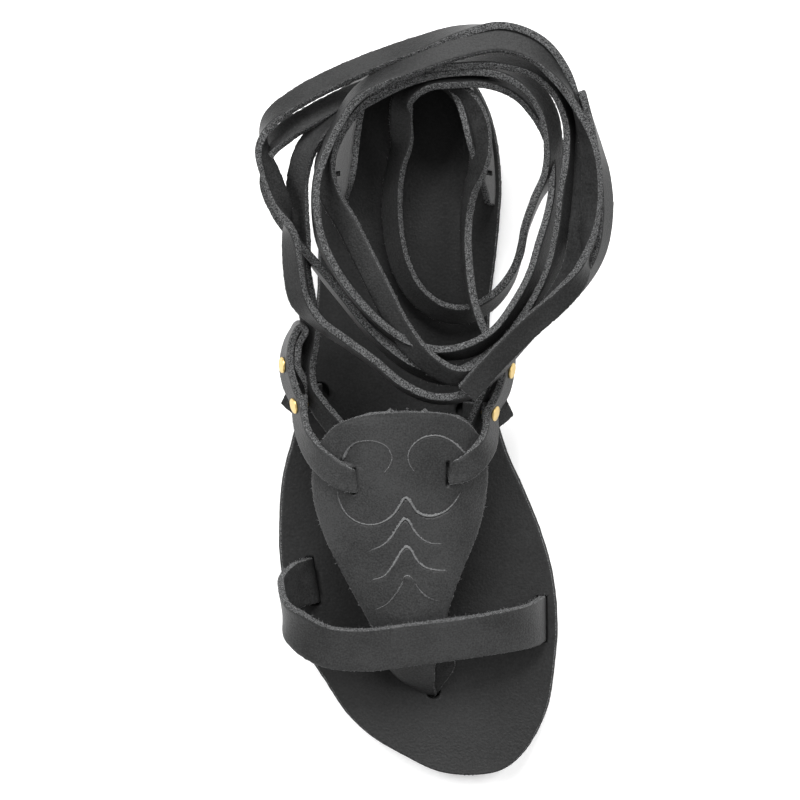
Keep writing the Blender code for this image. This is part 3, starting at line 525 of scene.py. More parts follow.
# Columns: picture x, picture y, height in millimetres, turn in degrees
TIE_LEFT = (
    (352, 448, 30, 60), (338, 430, 29.5, 55), (322, 410, 29, 45), (310, 388, 29, 30), (307, 366, 29.5, 35),
    (309, 345, 31, 45), (310, 322, 34.5, 48), (306, 298, 38.0, 45), (301, 270, 40, 48), (300, 240, 40.5, 55),
    (298, 210, 41, 60), (298, 178, 42.5, 64), (307, 148, 44.5, 62), (332, 120, 47, 45), (374, 95, 48.5, 30),
    (412, 79, 48.5, 20), (455, 71, 48.5, 15), (500, 72, 48.5, 25), (530, 86, 48, 45), (547, 111, 46.5, 48),
    (553, 142, 44.5, 42), (549, 174, 41, 25), (536, 200, 36.5, 10), (526, 226, 31.5, 5), (519, 256, 26.5, 0),
    (507, 283, 22.5, 15), (489, 303, 19.5, 30), (466, 314, 18, 40), (440, 311, 17.5, 45), (417, 294, 17.5, 48),
    (402, 268, 18, 50), (394, 235, 19.5, 50), (392, 200, 22.5, 50), (396, 168, 27, 45), (402, 142, 33, 60),
    (401, 118, 40, 80), (404, 98, 45, 60), (425, 84, 47.5, 35), (455, 80, 47.5, 35), (488, 80, 46, 40),
    (520, 92, 42.5, 48), (543, 118, 41, 48), (556, 150, 40.5, 42), (557, 185, 41, 32), (552, 215, 42.5, 30),
    (543, 245, 43.5, 30), (534, 275, 44, 30), (518, 305, 44.5, 30), (497, 333, 45, 30), (470, 349, 45, 30),
    (440, 353, 44.5, 20), (410, 345, 45, 15), (382, 326, 47, 10), (357, 300, 50, 8), (337, 272, 52.5, 5),
    (322, 243, 54, 10), (316, 212, 54.5, 5), (317, 180, 54.5, 5), (326, 150, 54.5, 10), (339, 122, 54.5, 15),
    (355, 97, 55, 25), (382, 78, 55.5, 45), (420, 62, 56, 65), (460, 48, 56.5, 75), (500, 41, 56.5, 78),
    (535, 52, 56, 65), (560, 78, 55, 35), (578, 112, 54, 0), (589, 148, 53.5, -32), (592, 185, 53, -46),
    (590, 220, 53, -42), (587, 249, 53, -5), (580, 276, 53, 42), (560, 300, 53, 65), (535, 322, 52.5, 75),
    (508, 348, 51.5, 78), (487, 370, 50.5, 78), (467, 393, 49.5, 75),
)
TIE_RIGHT = (
    (460, 452, 30, 60), (473, 432, 29.5, 50), (482, 408, 29, 35), (490, 388, 29.5, 30), (497, 370, 31, 25),
    (494, 348, 32.5, 10), (482, 325, 31, 0), (473, 300, 28, -5), (468, 270, 25.5, -8), (466, 240, 24, -10),
    (467, 212, 25, -15), (471, 189, 30, -25), (478, 168, 36.5, -42), (481, 146, 41, -58), (478, 122, 43, -62),
    (467, 100, 43.5, -50), (450, 85, 43.5, -25), (428, 76, 44, 0), (398, 78, 45, 20), (368, 88, 45.5, 45), (340, 101, 46, 60),
    (312, 116, 46, 65), (286, 132, 45.5, 60), (268, 153, 44.5, 25), (268, 183, 43.5, -30), (279, 208, 42.5, -45),
    (291, 230, 41.5, -25), (306, 252, 42.5, 0), (325, 276, 43, 10), (345, 301, 43, 10), (366, 327, 42.5, 10),
    (389, 350, 42, 15), (415, 368, 41, 20), (447, 377, 40, 25), (480, 364, 40.5, 25), (510, 338, 41, 25),
    (536, 304, 42, 30), (554, 268, 43.5, 40), (563, 232, 45, 45), (567, 195, 46, 42), (570, 158, 46.5, 25),
    (570, 122, 47.5, 30), (558, 90, 49, 40), (535, 69, 50.0, 45), (500, 60, 50.2, 42), (460, 62, 50.5, 30),
    (422, 69, 50.5, 15), (388, 84, 50, 20), (358, 106, 49, 25), (336, 134, 47.5, 35), (325, 164, 46, 50),
    (330, 194, 45, 62), (347, 224, 46, 68), (364, 258, 47, 70), (382, 294, 47.5, 70), (400, 328, 47.5, 65),
    (424, 358, 47, 55), (455, 376, 46.5, 45), (488, 368, 46, 35), (522, 336, 46, 0), (554, 302, 46.5, -50),
    (574, 266, 47, -65), (580, 228, 47, -55), (582, 188, 47, -48), (581, 148, 47.5, -35), (578, 108, 49, 0),
    (565, 70, 51, 0), (540, 42, 53, -10), (502, 28, 54, -8), (460, 32, 54, 25), (420, 45, 53.5, 45),
    (378, 60, 53, 52), (336, 78, 52, 58), (298, 98, 51, 55), (270, 120, 50, 35), (262, 147, 49, -15),
    (271, 176, 49, -46), (282, 206, 49.5, -40), (290, 236, 50, 30), (293, 268, 50, 48), (299, 298, 49.5, 48),
    (318, 322, 49, 20), (346, 342, 48, 12), (374, 362, 47, 10), (402, 385, 46, 10), (432, 398, 45, 10),
    (463, 396, 43, 12), (492, 376, 41.5, 15), (520, 345, 41.5, 15), (548, 314, 43, 15), (578, 287, 45.5, 18),
    (598, 254, 48, 25), (605, 215, 49.5, 32), (603, 178, 50.5, 30), (596, 145, 51.5, 15), (588, 115, 51.5, 5),
    (582, 92, 51.5, 5),
)


# %% Tie meshes
def tie_axes(centre, turn, outward_sense):
    """Width direction and grain normal of a tie for its turn, worked out from its run.

    Outward is level and square to the run, to its left when outward_sense is 1. The grain normal turns from outward
    to up as the turn goes from 0 to 90 degrees, and the width direction is square to it.
    """
    run = unit(np.gradient(centre, axis=0))
    outward = unit(np.column_stack([-run[:, 1], run[:, 0], 0 * run[:, 0]])) * outward_sense
    up = np.cross(run, outward) * outward_sense
    angle = np.radians(turn)[:, None]
    lean = -np.sin(angle) * outward + np.cos(angle) * up
    normal = np.cos(angle) * outward + np.sin(angle) * up
    return lean, normal


def make_tie(name, rows, outward_sense, nodes, seed):
    """One tie as a leather strap along its route; its length is measured and printed."""
    table = np.column_stack([from_picture(rows), np.array(rows, float)[:, 3]])
    samples, length = even_rows(smooth_rows(table, 24 * len(rows)), STRAP_STEP)
    centre = samples[:, :3]
    lean, normal = tie_axes(centre, samples[:, 3], outward_sense)
    grid = strap_grid(centre, lean * outward_sense, TIE_WIDTH - 2 * 0.00025)
    piece = leather_arrays(grid, TIE_THICKNESS, 0.00025, seed)
    keep = np.ones(len(piece["edge"]["place"]))
    piece = add_fibres(piece, keep, 1700, 0.0006, seed + 1)
    made = make_object(name, piece, TIE_LEATHER, "tie")
    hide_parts(*nodes)
    print(name, "length", round(length, 3), "m, rings", len(centre))
    return made


tie_left = make_tie("tie_left", TIE_LEFT, 1, ("tie_lead_left", "tie_coil"), 11)
tie_right = make_tie("tie_right", TIE_RIGHT, -1, ("tie_lead_right",), 23)

# %% [markdown]
# ## The shape of the sole
# The sole is cut to the foot: broad at the ball, straight along the big toe, narrow at the waist and round at the
# heel. The same short tables that the frame was built from give it here, as shares of the ball's width, the
# sandal's length and the instep's height over the bed. Seen from the side, the bed is level under the ball, rises to
# the heel and turns up a little at the toe.
# %% Sizes and heights
LENGTH = 0.259
BALL_WIDTH = 0.100
HEEL_WIDTH = 0.0654
OUTSOLE_THICKNESS = 0.0045
INSOLE_THICKNESS = 0.0035
HEEL_LIFT = 0.006
TOE_SPRING = 0.004
INSOLE_INSET = 0.0007
INSTEP_HEIGHT = 0.040
INSTEP_ARCH = 0.012
VAMP_WIDTH = 0.0601
CLEARANCE = 0.0003
STRAP_BITE = 0.0005
BED = OUTSOLE_THICKNESS + INSOLE_THICKNESS
HEEL_BREAST, BREAST_RUN = 0.270, 0.006
ARCH_START, ARCH_END, BALL_END = -0.033, 0.300, -0.330
HEEL_ROUNDNESS = 2.35


def ease(x):
    """Rises smoothly from 0 to 1 as x goes from 0 to 1."""
    x = np.clip(x, 0.0, 1.0)
    return x * x * (3 - 2 * x)


def bed_height(y):
    """Height of the outsole's upper face: level, then up to the heel, and turned up at the toe."""
    along = np.asarray(y) / LENGTH
    heel = HEEL_LIFT * ease((along - ARCH_START) / (ARCH_END - ARCH_START))
    toe = TOE_SPRING * np.clip((BALL_END - along) / (BALL_END + 0.5), 0, None) ** 2
    return OUTSOLE_THICKNESS + heel + toe


def ground_height(y):
    """Height of the outsole's underside: on the floor under heel and ball, a constant sole under the arch."""
    free = bed_height(y) - OUTSOLE_THICKNESS
    return free * (1 - ease((np.asarray(y) / LENGTH - HEEL_BREAST) / BREAST_RUN))


# %% Outline of the sole
# Columns: across, along
OUTLINE = (
    (0.297, 0.300), (0.281, 0.226), (0.259, 0.154), (0.254, 0.085), (0.268, 0.020), (0.316, -0.049),
    (0.379, -0.104), (0.440, -0.162), (0.483, -0.222), (0.500, -0.288), (0.491, -0.344), (0.469, -0.400),
    (0.433, -0.436), (0.374, -0.471), (0.306, -0.492), (0.220, -0.500), (0.076, -0.496), (-0.055, -0.473),
    (-0.173, -0.446), (-0.260, -0.414), (-0.333, -0.372), (-0.400, -0.330), (-0.466, -0.270), (-0.496, -0.203),
    (-0.500, -0.160), (-0.489, -0.091), (-0.455, -0.038), (-0.415, 0.020), (-0.388, 0.090), (-0.366, 0.149),
    (-0.357, 0.230), (-0.357, 0.300),
)


def sole_outline(inset=0.0):
    """Plan of the sole: the table's smooth curve, closed by a half ellipse round the heel, moved in by inset."""
    side = smooth_rows(OUTLINE, 620, places=2)
    heel_middle = (OUTLINE[0][0] + OUTLINE[-1][0]) / 2
    heel_ratio = HEEL_WIDTH / ((OUTLINE[0][0] - OUTLINE[-1][0]) * BALL_WIDTH)
    narrowing = 1 + (heel_ratio - 1) * ease((side[:, 1] - ARCH_START) / (HEEL_BREAST - ARCH_START))
    across = heel_middle + (side[:, 0] - heel_middle) * narrowing
    side = np.column_stack([across * BALL_WIDTH, side[:, 1] * LENGTH])
    start, end = side[-1], side[0]
    middle, half = (start + end) / 2, (end - start)[0] / 2
    reach = LENGTH / 2 - middle[1]
    turn = np.linspace(math.pi, 0, 180)[1:-1]
    power = 2 / HEEL_ROUNDNESS
    heel = np.column_stack([middle[0] + half * np.sign(np.cos(turn)) * np.abs(np.cos(turn)) ** power,
                            middle[1] + reach * np.sin(turn) ** power])
    outline = np.vstack([side, heel])
    run = unit(np.roll(outline, -1, 0) - np.roll(outline, 1, 0))
    return outline - inset * np.column_stack([-run[:, 1], run[:, 0]])


def sole_grid(inset, rows=230, columns=41):
    """Plan of the sole as rows across the foot: each row runs from the outline's one side to its other side.

    Rows lie closer together towards toe and heel, where the outline turns, as a cosine spaces them.
    """
    outline = sole_outline(inset)
    outline = np.roll(outline, -int(np.argmax(outline[:, 1])), 0)
    toe = int(np.argmin(outline[:, 1]))
    one, other = outline[:toe + 1], np.vstack([outline[toe:], outline[:1]])
    low, high = outline[toe, 1] + 0.00002, outline[0, 1] - 0.00002
    y = (low + high) / 2 - (high - low) / 2 * np.cos(np.linspace(0, math.pi, rows))
    breast = LENGTH * (HEEL_BREAST + BREAST_RUN * np.linspace(0, 1, 5))
    y = np.sort(np.concatenate([y, breast]))
    ends = [np.interp(y, side[np.argsort(side[:, 1]), 1], side[np.argsort(side[:, 1]), 0]) for side in (one, other)]
    left, right = np.minimum(*ends), np.maximum(*ends)
    share = (1 - np.cos(np.linspace(0, math.pi, columns))) / 2
    x = left[:, None] + (right - left)[:, None] * share[None, :]
    return np.stack([x, np.repeat(y[:, None], columns, 1)], axis=2)


# %% Outsole and insole
def plate_piece(inset, top, bottom, rim, seed, fuzz):
    """Plate between two heights that are functions of y, with a cut edge all round and the grain on top."""
    plan = sole_grid(inset + rim)
    y = plan[..., 1]
    grid = np.concatenate([plan, ((top(y) + bottom(y)) / 2)[..., None]], axis=2)
    if np.mean(np.cross(np.gradient(grid, axis=1), np.gradient(grid, axis=0))[..., 2]) < 0:
        grid = grid[:, ::-1]
    return leather_arrays(grid, top(y) - bottom(y), rim, seed, crown=0.06, upright=True, fuzz=fuzz)


def cutter(points, faces, name):
    mesh = bpy.data.meshes.new(name)
    mesh.from_pydata(points.tolist(), [], [list(face) for face in faces])
    made = bpy.data.objects.new(name, mesh)
    bpy.context.scene.collection.objects.link(made)
    return made


def prism_cutter(name, outline, low, high):
    """Upright prism between two heights on a plan outline that runs anticlockwise."""
    count = len(outline)
    points = np.vstack([np.column_stack([outline, np.full(count, z)]) for z in (low, high)])
    sides = [(k, (k + 1) % count, count + (k + 1) % count, count + k) for k in range(count)]
    faces = [tuple(range(count))[::-1], tuple(range(count, 2 * count)), *sides]
    return cutter(points, faces, name)


def cut_out(made, cutters):
    """Takes the cutters away from a piece, one exact Boolean each, and leaves its mesh without modifiers."""
    for tool in cutters:
        change = made.modifiers.new(tool.name, "BOOLEAN")
        change.operation, change.object, change.solver = "DIFFERENCE", tool, "EXACT"
    evaluated = made.evaluated_get(bpy.context.evaluated_depsgraph_get())
    mesh = bpy.data.meshes.new_from_object(evaluated)
    made.modifiers.clear()
    old = made.data
    made.data = mesh
    bpy.data.meshes.remove(old)
    for tool in cutters:
        bpy.data.objects.remove(tool)
    return made


outsole_piece = plate_piece(0.0, bed_height, ground_height, 0.0004, 31, 0.00005)
outsole = make_object("outsole", outsole_piece, RUBBER, "outsole", "outsole")
insole_piece = plate_piece(INSOLE_INSET, lambda y: bed_height(y) + INSOLE_THICKNESS,
                           lambda y: bed_height(y) + CLEARANCE, 0.0004, 37, 0.00007)
add_fibres(insole_piece, np.ones(len(insole_piece["edge"]["place"])), 500, 0.00035, 38, grain_side=0.1)
insole = make_object("insole", insole_piece, INSOLE_LEATHER, "insole", "insole")

# %% [markdown]
# ## The instep piece
# One plate of leather lies over the instep. It is round at its back edge, broad where the side straps go through it
# and tapers to a thong. Its only ornament is cut into it with a knife: two round eyes, a double arc below them and
# three chevrons. Worn leather curls at such cuts, so one side of each stands up and shows its pale cut edge. The
# plate is a function of its two parameters, the cuts raise and sink it near their lines, and a narrow wedge along
# each line makes the cut edge itself, coloured pale: the edge's own light colour plus a painted highlight that grows
# with the height of the cut.
# %% Middle surface of the instep piece
VAMP_THICKNESS = 0.0026
# Columns: along, left, right, up, fold
VAMP_ROWS = (
    (0.0018, -0.100, 0.022, 1.000, 0.00), (0.0004, -0.146, 0.070, 0.998, 0.00), (-0.003, -0.190, 0.118, 0.992, 0.00),
    (-0.0087, -0.240, 0.151, 0.980, 0.00), (-0.0167, -0.283, 0.176, 0.964, 0.00), (-0.0287, -0.316, 0.200, 0.938, 0.00),
    (-0.046, -0.346, 0.222, 0.902, 0.00),
    (-0.077, -0.366, 0.235, 0.838, 0.00), (-0.120, -0.360, 0.226, 0.755, 0.00), (-0.158, -0.332, 0.204, 0.688, 0.00),
    (-0.199, -0.285, 0.162, 0.626, 0.00), (-0.245, -0.222, 0.117, 0.574, 0.05), (-0.285, -0.165, 0.092, 0.520, 0.15),
    (-0.316, -0.130, 0.106, 0.468, 0.20), (-0.333, -0.108, 0.112, 0.420, 0.25),
)
VAMP_SPAN_STEPS = 19
VAMP_COLUMNS = 111


def vamp_grid():
    """Middle surface: rows from back edge to thong; height is the spine's less an arch with the square of the
    distance from the middle line, less a fold that grows straight with it."""
    rows = smooth_rows(VAMP_ROWS, VAMP_SPAN_STEPS * (len(VAMP_ROWS) - 1) + 1, places=1)
    along, left, right, up, fold = (column[:, None] for column in rows.T)
    share = np.linspace(0.0, 1.0, VAMP_COLUMNS)[None, :]
    widest = max(row[2] - row[1] for row in VAMP_ROWS)
    off = (share - 0.5) * (right - left) / widest * VAMP_WIDTH
    x = (left + right) / 2 * BALL_WIDTH + off
    y = along * LENGTH + 0 * share
    z = BED + up * INSTEP_HEIGHT - INSTEP_ARCH * (off / (VAMP_WIDTH / 2)) ** 2 - fold * np.abs(off)
    return np.stack([x, y, z], axis=2)


def instep_height(x, y):
    """Middle surface of the instep piece at x, y, for what lies on it."""
    rows = np.array(VAMP_ROWS)[::-1]
    along = y / LENGTH
    spine = np.interp(along, rows[:, 0], rows[:, 3])
    middle = np.interp(along, rows[:, 0], (rows[:, 1] + rows[:, 2]) / 2)
    return BED + spine * INSTEP_HEIGHT - INSTEP_ARCH * ((x - middle * BALL_WIDTH) / (VAMP_WIDTH / 2)) ** 2


# %% The cuts in it
CUT_HEIGHT = 45
# Each cut from left to right. Columns: picture x, picture y, lift in millimetres of the side towards the toe
CUTS = {
    "eye_left": ((342, 461, -1.1), (346, 452, -0.9), (354, 444, -0.45), (366, 441, -0.2), (377, 442, -0.16),
                 (387, 447, -0.14), (392, 458, -0.12), (389, 467, -0.10), (383, 474, -0.06)),
    "eye_right": ((415, 473, 0.10), (409, 463, 0.22), (409, 452, 0.30), (415, 443, 0.35), (425, 437, 0.40),
                  (438, 436, 0.45), (451, 441, 0.55), (459, 448, 0.6), (466, 455, 0.6)),
    "double_arc": ((337, 490, 0.10), (339, 502, 0.22), (346, 515, 0.26), (357, 523, 0.28), (371, 526, 0.32),
                   (385, 522, 0.40), (395, 514, 0.60), (402, 503, 0.90), (405.5, 498.5, 1.05), (410, 503, 0.95),
                   (416, 512, 0.90), (424, 516.5, 0.95), (434, 517, 0.80), (446, 512, 0.45), (455, 503, 0.20),
                   (461, 493, 0.10)),
    "chevron_top": ((369, 552.5, 0.10), (382, 547, 0.28), (391, 539, 0.65), (398, 528, 1.0), (403, 521.5, 1.25),
                    (405.6, 520, 1.3), (409, 523, 1.2), (414, 532, 0.85), (423, 541, 0.5), (433, 545, 0.25),
                    (444, 545, 0.10)),
    "chevron_middle": ((371, 582, 0.10), (383, 578.5, 0.28), (392, 569, 0.6), (398, 559, 0.9), (403, 551, 1.15),
                       (407, 548.5, 1.25), (411, 552, 1.15), (416, 561, 0.8), (425, 569, 0.6), (435, 572, 0.45),
                       (448, 572.5, 0.15)),
    "chevron_low": ((374, 613, 0.06), (387, 606, -0.25), (396, 595, -0.55), (402, 584, -0.55), (404, 579, 0.30),
                    (408, 577.5, 0.50), (412, 580, 0.30), (419, 591, -0.50), (429, 600, -0.45), (440, 604, 0.06)),
}
LIFT_SHARE = 0.65
LIFT_REACH = 0.0065
SINK_REACH = 0.0022


def cut_line(rows):
    """A cut's smooth plan line, its unit direction to the toe's side, and the lift along it in metres."""
    table = np.array(rows, float)
    spots = from_picture(np.column_stack([table[:, :2], np.full(len(table), CUT_HEIGHT)]))
    line = smooth_rows(np.column_stack([spots[:, :2], table[:, 2] / 1000]), 8 * (len(rows) - 1) + 1, places=2)
    line, _ = even_rows(line, 0.0004, places=2)
    run = unit(np.gradient(line[:, :2], axis=0))
    return line[:, :2], np.column_stack([run[:, 1], -run[:, 0]]), line[:, 2]


def cut_relief(grid, lines):
    """Rise of the surface near the cuts: full beside the line and fading with distance, up on one side and down on
    the other."""
    plan = grid[..., :2].reshape(-1, 2)
    rise = np.zeros(len(plan))
    for line, toward, lift in lines:
        step = plan[:, None, :] - line[None, :, :]
        away = np.hypot(step[..., 0], step[..., 1])
        near = np.argmin(away, axis=1)
        at = np.arange(len(plan))
        side = np.sum(step[at, near] * toward[near], axis=1)
        fade = np.exp(-away[at, near] / np.where(side > 0, LIFT_REACH, SINK_REACH))
        share = np.where(side > 0, LIFT_SHARE, LIFT_SHARE - 1)
        inside = (near > 0) & (near < len(line) - 1)
        rise += np.where(inside, share * lift[near] * fade, 0.0)
    return rise.reshape(grid.shape[:2])


def surface_at(grid, plan):
    """Points of a grid surface over plan places, found by row from y and by column from x."""
    y_rows = grid[:, grid.shape[1] // 2, 1]
    row = np.interp(-plan[:, 1], -y_rows, np.arange(len(y_rows)))
    low = np.minimum(row.astype(int), len(y_rows) - 2)
    part = (row - low)[:, None]
    left = grid[low, 0] * (1 - part) + grid[low + 1, 0] * part
    right = grid[low, -1] * (1 - part) + grid[low + 1, -1] * part
    share = (plan[:, 0] - left[:, 0]) / (right[:, 0] - left[:, 0])
    column = np.clip(share, 0, 1) * (grid.shape[1] - 1)
    first = np.minimum(column.astype(int), grid.shape[1] - 2)
    over = (column - first)[:, None]
    near = grid[low, first] * (1 - over) + grid[low, first + 1] * over
    far = grid[low + 1, first] * (1 - over) + grid[low + 1, first + 1] * over
    return near * (1 - part) + far * part


def lip(top, line, toward, lift, seed):
    """Wedge along a cut: from the raised side's edge down a pale face to the sunk side, closed below."""
    rng = np.random.default_rng(seed)
    size = np.abs(lift)
    down = toward * -np.sign(lift)[:, None]
    high = np.where(lift > 0, LIFT_SHARE * lift, (LIFT_SHARE - 1) * lift)
    low = high - size
    wobble = 1 + 0.22 * rough(rng, len(line), 1)
    foot = (0.00010 + 0.70 * size) * wobble
    ends = np.minimum(1.0, np.minimum(np.arange(len(line)), np.arange(len(line))[::-1]) / 4 + 0.1)
    rows = []
    for reach, rise in ((-0.00035, high - 0.00006), (-0.00008, high + 0.00007), (0.00006, high + 0.00005),
                        (foot, low + 0.00002), (foot * 1.05, low - 0.0006), (-0.00035 + 0 * foot, low - 0.0006)):
        plan = line + down * (np.broadcast_to(reach, len(line)) * ends)[:, None]
        spot = surface_at(top, plan)
        spot[:, 2] += rise
        rows.append(spot)
    points = np.stack(rows, axis=1)
    count, sides = points.shape[:2]
    number = np.arange(count * sides).reshape(count, sides)
    wrap = np.roll(number, -1, 1)
    quads = np.stack([number[:-1], wrap[:-1], wrap[1:], number[1:]], axis=-1).reshape(-1, 4)
    faces = [quads, number[-1:], number[:1, ::-1]]
    flat = points.reshape(-1, 3)
    a, b, c = (flat[quads[:, k]] for k in (0, 1, 2))
    middle = points.mean(axis=1)[quads[:, 0] // sides]
    if np.sum(np.cross(b - a, c - b) * (a - middle)) < 0:
        faces = [part[:, ::-1] for part in faces]
    cut = np.tile([0.0, 0.35, 1.0, 1.0, 1.0, 1.0], count)
    # Pale share per ring of the wedge, heaviest on the cut face: the cut edge's own light colour plus a painted
    # highlight that grows with the lift.
    share = np.array([0.0, 0.3, 1.0, 0.7, 0.0, 0.0])
    pale = ((0.30 + 0.35 * np.minimum(1, size / 0.0011))[:, None] * share).ravel()
    return {"points": flat, "faces": faces, "cut": cut, "flesh": np.zeros(count * sides), "pale": pale}


# The slots of the side straps: picture x, then picture y of both ends
SLOT_LINES = ((355.5, 469, 492), (446.5, 462, 484))
SLOT_DEPTH, SLOT_HALF_WIDTH = 0.0030, 0.0006


def slot_relief(grid):
    """Sinks the surface along each slot: full depth on its line, gone one slot's width away."""
    rise = 0.0
    for x, start, end in SLOT_LINES:
        (line_x, high_y, _), (_, low_y, _) = from_picture([(x, start, CUT_HEIGHT), (x, end, CUT_HEIGHT)])
        past = np.maximum(0, np.abs(grid[..., 1] - (high_y + low_y) / 2) - (high_y - low_y) / 2)
        away = np.hypot(grid[..., 0] - line_x, past) / SLOT_HALF_WIDTH
        rise = rise - SLOT_DEPTH * np.exp(-(away**4))
    return rise


cut_lines = [cut_line(rows) for rows in CUTS.values()]
vamp_middle = vamp_grid()
relief = cut_relief(vamp_middle, cut_lines) + slot_relief(vamp_middle)
print("cut relief, mm:", round(1000 * relief.min(), 2), "to", round(1000 * relief.max(), 2))

# %% The instep piece itself
vamp_piece = leather_arrays(vamp_middle[:, ::-1], VAMP_THICKNESS, 0.0003, 41, fuzz=0.00012,
                            slant=lambda spot: 0.0002 + 0.0009 * ease((spot[:, 1] + 0.022) / 0.018))
grid_count = vamp_middle.shape[0] * vamp_middle.shape[1]
smooth_top = vamp_piece["points"][:grid_count].reshape(vamp_middle.shape)[:, ::-1].copy()
vamp_piece["points"][:grid_count, 2] += relief[:, ::-1].ravel()
vamp_piece["points"][grid_count:2 * grid_count, 2] += relief[:, ::-1].ravel()
vamp_edge = vamp_piece["edge"]["place"]
add_fibres(vamp_piece, (vamp_edge[:, 1] > -0.0135) * 1.0, 11000, 0.0007, 43, grain_side=0.9)
add_fibres(vamp_piece, (vamp_edge[:, 1] <= -0.0135) * (vamp_edge[:, 1] > -0.085) * 1.0, 2200, 0.0007, 44)
lips = [lip(smooth_top, *cut, 50 + number) for number, cut in enumerate(cut_lines)]
vamp = make_object("instep_piece", join_arrays(vamp_piece, *lips), UPPER_LEATHER, "upper", "upper")

# %% The rolled thong
# Columns: picture x of the fold, of the upper cut edge and of the lower one, picture y, height and half gap in mm
THONG_ROWS = (
    (381, 446, 450, 640, 24.5, 1.2), (384, 440, 453, 652, 22.0, 1.7), (390, 434.5, 454, 665, 18.0, 2.0),
    (401, 434.0, 447, 677, 14.0, 1.8), (417, 433.5, 440, 686, 10.5, 1.5), (426, 435, 438, 691, 7.5, 1.3),
    (428, 436, 438, 692.5, 5.6, 1.3),
)


def thong_grid():
    """Strip rolled about its left side: from its lower edge in to the fold and back out to its upper edge.

    With s from -1 to 1, the distance from the fold grows with |s| to the power 1.6, and the height above or below
    the middle with the root of |s|, so the fold is round and the two layers run side by side.
    """
    rows = smooth_rows(THONG_ROWS, 90, places=4)
    s = np.linspace(-1, 1, 45)[None, :]
    left, upper, lower, down, height, gap = (column[:, None] for column in rows.T)
    x = left + np.where(s > 0, upper - left, lower - left) * np.abs(s) ** 1.6
    z = height + gap * np.sign(s) * np.abs(s) ** 0.5
    table = np.stack([x, down + 0 * s, z], axis=2)
    return from_picture(table.reshape(-1, 3)).reshape(table.shape)


thong = thong_grid()
if np.cross(np.gradient(thong, axis=1), np.gradient(thong, axis=0))[45, 40, 2] < 0:
    thong = thong[:, ::-1]
thong_piece = leather_arrays(thong, 0.0022, 0.0003, 47)
add_fibres(thong_piece, np.ones(len(thong_piece["edge"]["place"])), 2500, 0.0005, 48)
make_object("thong", thong_piece, UPPER_LEATHER, "upper", "upper")

# %% [markdown]
# ## Straps
# The toe strap comes up through a slot at the outer edge, bulges past the sole, crosses over the thong and goes down
# beside the big toe. Each side strap starts in a slot of the instep piece, turns on edge, is riveted twice, folds
# back on itself in a loop for the tie and ends in a square cut under the front rivet. A narrow stay ties that rivet
# to a round hole in the insole. Each is a middle line with the direction of its width.
# %% Strap tables and lines
TOE_STRAP_WIDTH, TOE_STRAP_THICKNESS = 0.016, 0.0026
SIDE_STRAP_WIDTH, SIDE_STRAP_THICKNESS, SIDE_LEATHER = 0.0095, 0.0022, 0.0026
STAY_WIDTH, STAY_THICKNESS, STAY_HOLE_RADIUS = 0.0058, 0.0022, 0.0036
# Columns: across, along, up, lean_x, lean_y, lean_z
TOE_STRAP_ROWS = (
    (-0.378, -0.2315, -0.080, 0.16, -0.99, 0.00), (-0.380, -0.2315, 0.030, 0.16, -0.99, 0.00),
    (-0.434, -0.2370, 0.160, 0.12, -0.97, -0.20), (-0.473, -0.2540, 0.310, 0.10, -0.92, -0.37),
    (-0.447, -0.2850, 0.440, 0.15, -0.90, -0.40), (-0.340, -0.3140, 0.490, 0.08, -0.91, -0.40),
    (-0.200, -0.3210, 0.510, 0.00, -0.92, -0.38), (-0.020, -0.3130, 0.560, -0.02, -0.92, -0.38),
    (0.159, -0.3050, 0.455, -0.03, -0.92, -0.38), (0.304, -0.2970, 0.365, 0.00, -0.94, -0.33),
    (0.395, -0.2910, 0.210, 0.00, -0.98, -0.18), (0.440, -0.2840, 0.040, 0.00, -1.00, 0.00),
    (0.443, -0.2840, -0.080, 0.00, -1.00, 0.00),
)
SIDE_STRAPS = {
    "left": (
        (-0.211, -0.0925, 0.750, 0.00, -1.00, 0.00), (-0.250, -0.0885, 0.742, -0.10, -0.95, -0.20),
        (-0.312, -0.073, 0.690, -0.42, -0.82, -0.42), (-0.372, -0.050, 0.610, -0.50, -0.45, -0.74),
        (-0.409, -0.020, 0.560, -0.42, -0.12, -0.90), (-0.423, 0.0115, 0.550, -0.38, 0.00, -0.92),
        (-0.450, 0.038, 0.570, -0.42, 0.04, -0.89), (-0.463, 0.0655, 0.595, -0.35, 0.00, -0.94),
        (-0.453, 0.094, 0.620, -0.25, 0.00, -0.97), (-0.428, 0.115, 0.640, -0.18, 0.00, -0.98),
    ),
    "right": (
        (0.102, -0.0815, 0.830, 0.00, -1.00, 0.00), (0.140, -0.0775, 0.815, 0.10, -0.95, -0.20),
        (0.190, -0.065, 0.765, 0.42, -0.82, -0.42), (0.236, -0.044, 0.670, 0.50, -0.45, -0.74),
        (0.252, -0.020, 0.600, 0.42, -0.12, -0.90), (0.254, 0.001, 0.575, 0.38, 0.00, -0.92),
        (0.292, 0.029, 0.590, 0.42, 0.04, -0.89), (0.311, 0.0585, 0.610, 0.35, 0.00, -0.94),
        (0.316, 0.086, 0.630, 0.25, 0.00, -0.97), (0.298, 0.112, 0.645, 0.18, 0.00, -0.98),
    ),
}
SIDE_ENDS = {
    "left": ((-0.417, 0.037, 0.455, -0.55, 0.10, -0.80), (-0.448, 0.004, 0.290, -0.75, 0.25, -0.60)),
    "right": ((0.262, 0.028, 0.460, 0.55, 0.10, -0.80), (0.297, -0.012, 0.290, 0.75, 0.25, -0.60)),
}
RIVET_ROWS = {"front": 5, "back": 7}
FOLD_GAPS = (0.0030, 0.0027)
SIDE_SEATS = {0: -0.35, 1: 1.05, 2: 1.12}
TOE_SEATS = {7: 1.06}
STAYS = {
    "left": ((-0.355, 0.029), (-0.375, 0.024, 0.17), (-0.406, 0.015, 0.33)),
    "right": ((0.170, 0.004), (0.192, 0.003, 0.17), (0.232, 0.001, 0.34)),
}


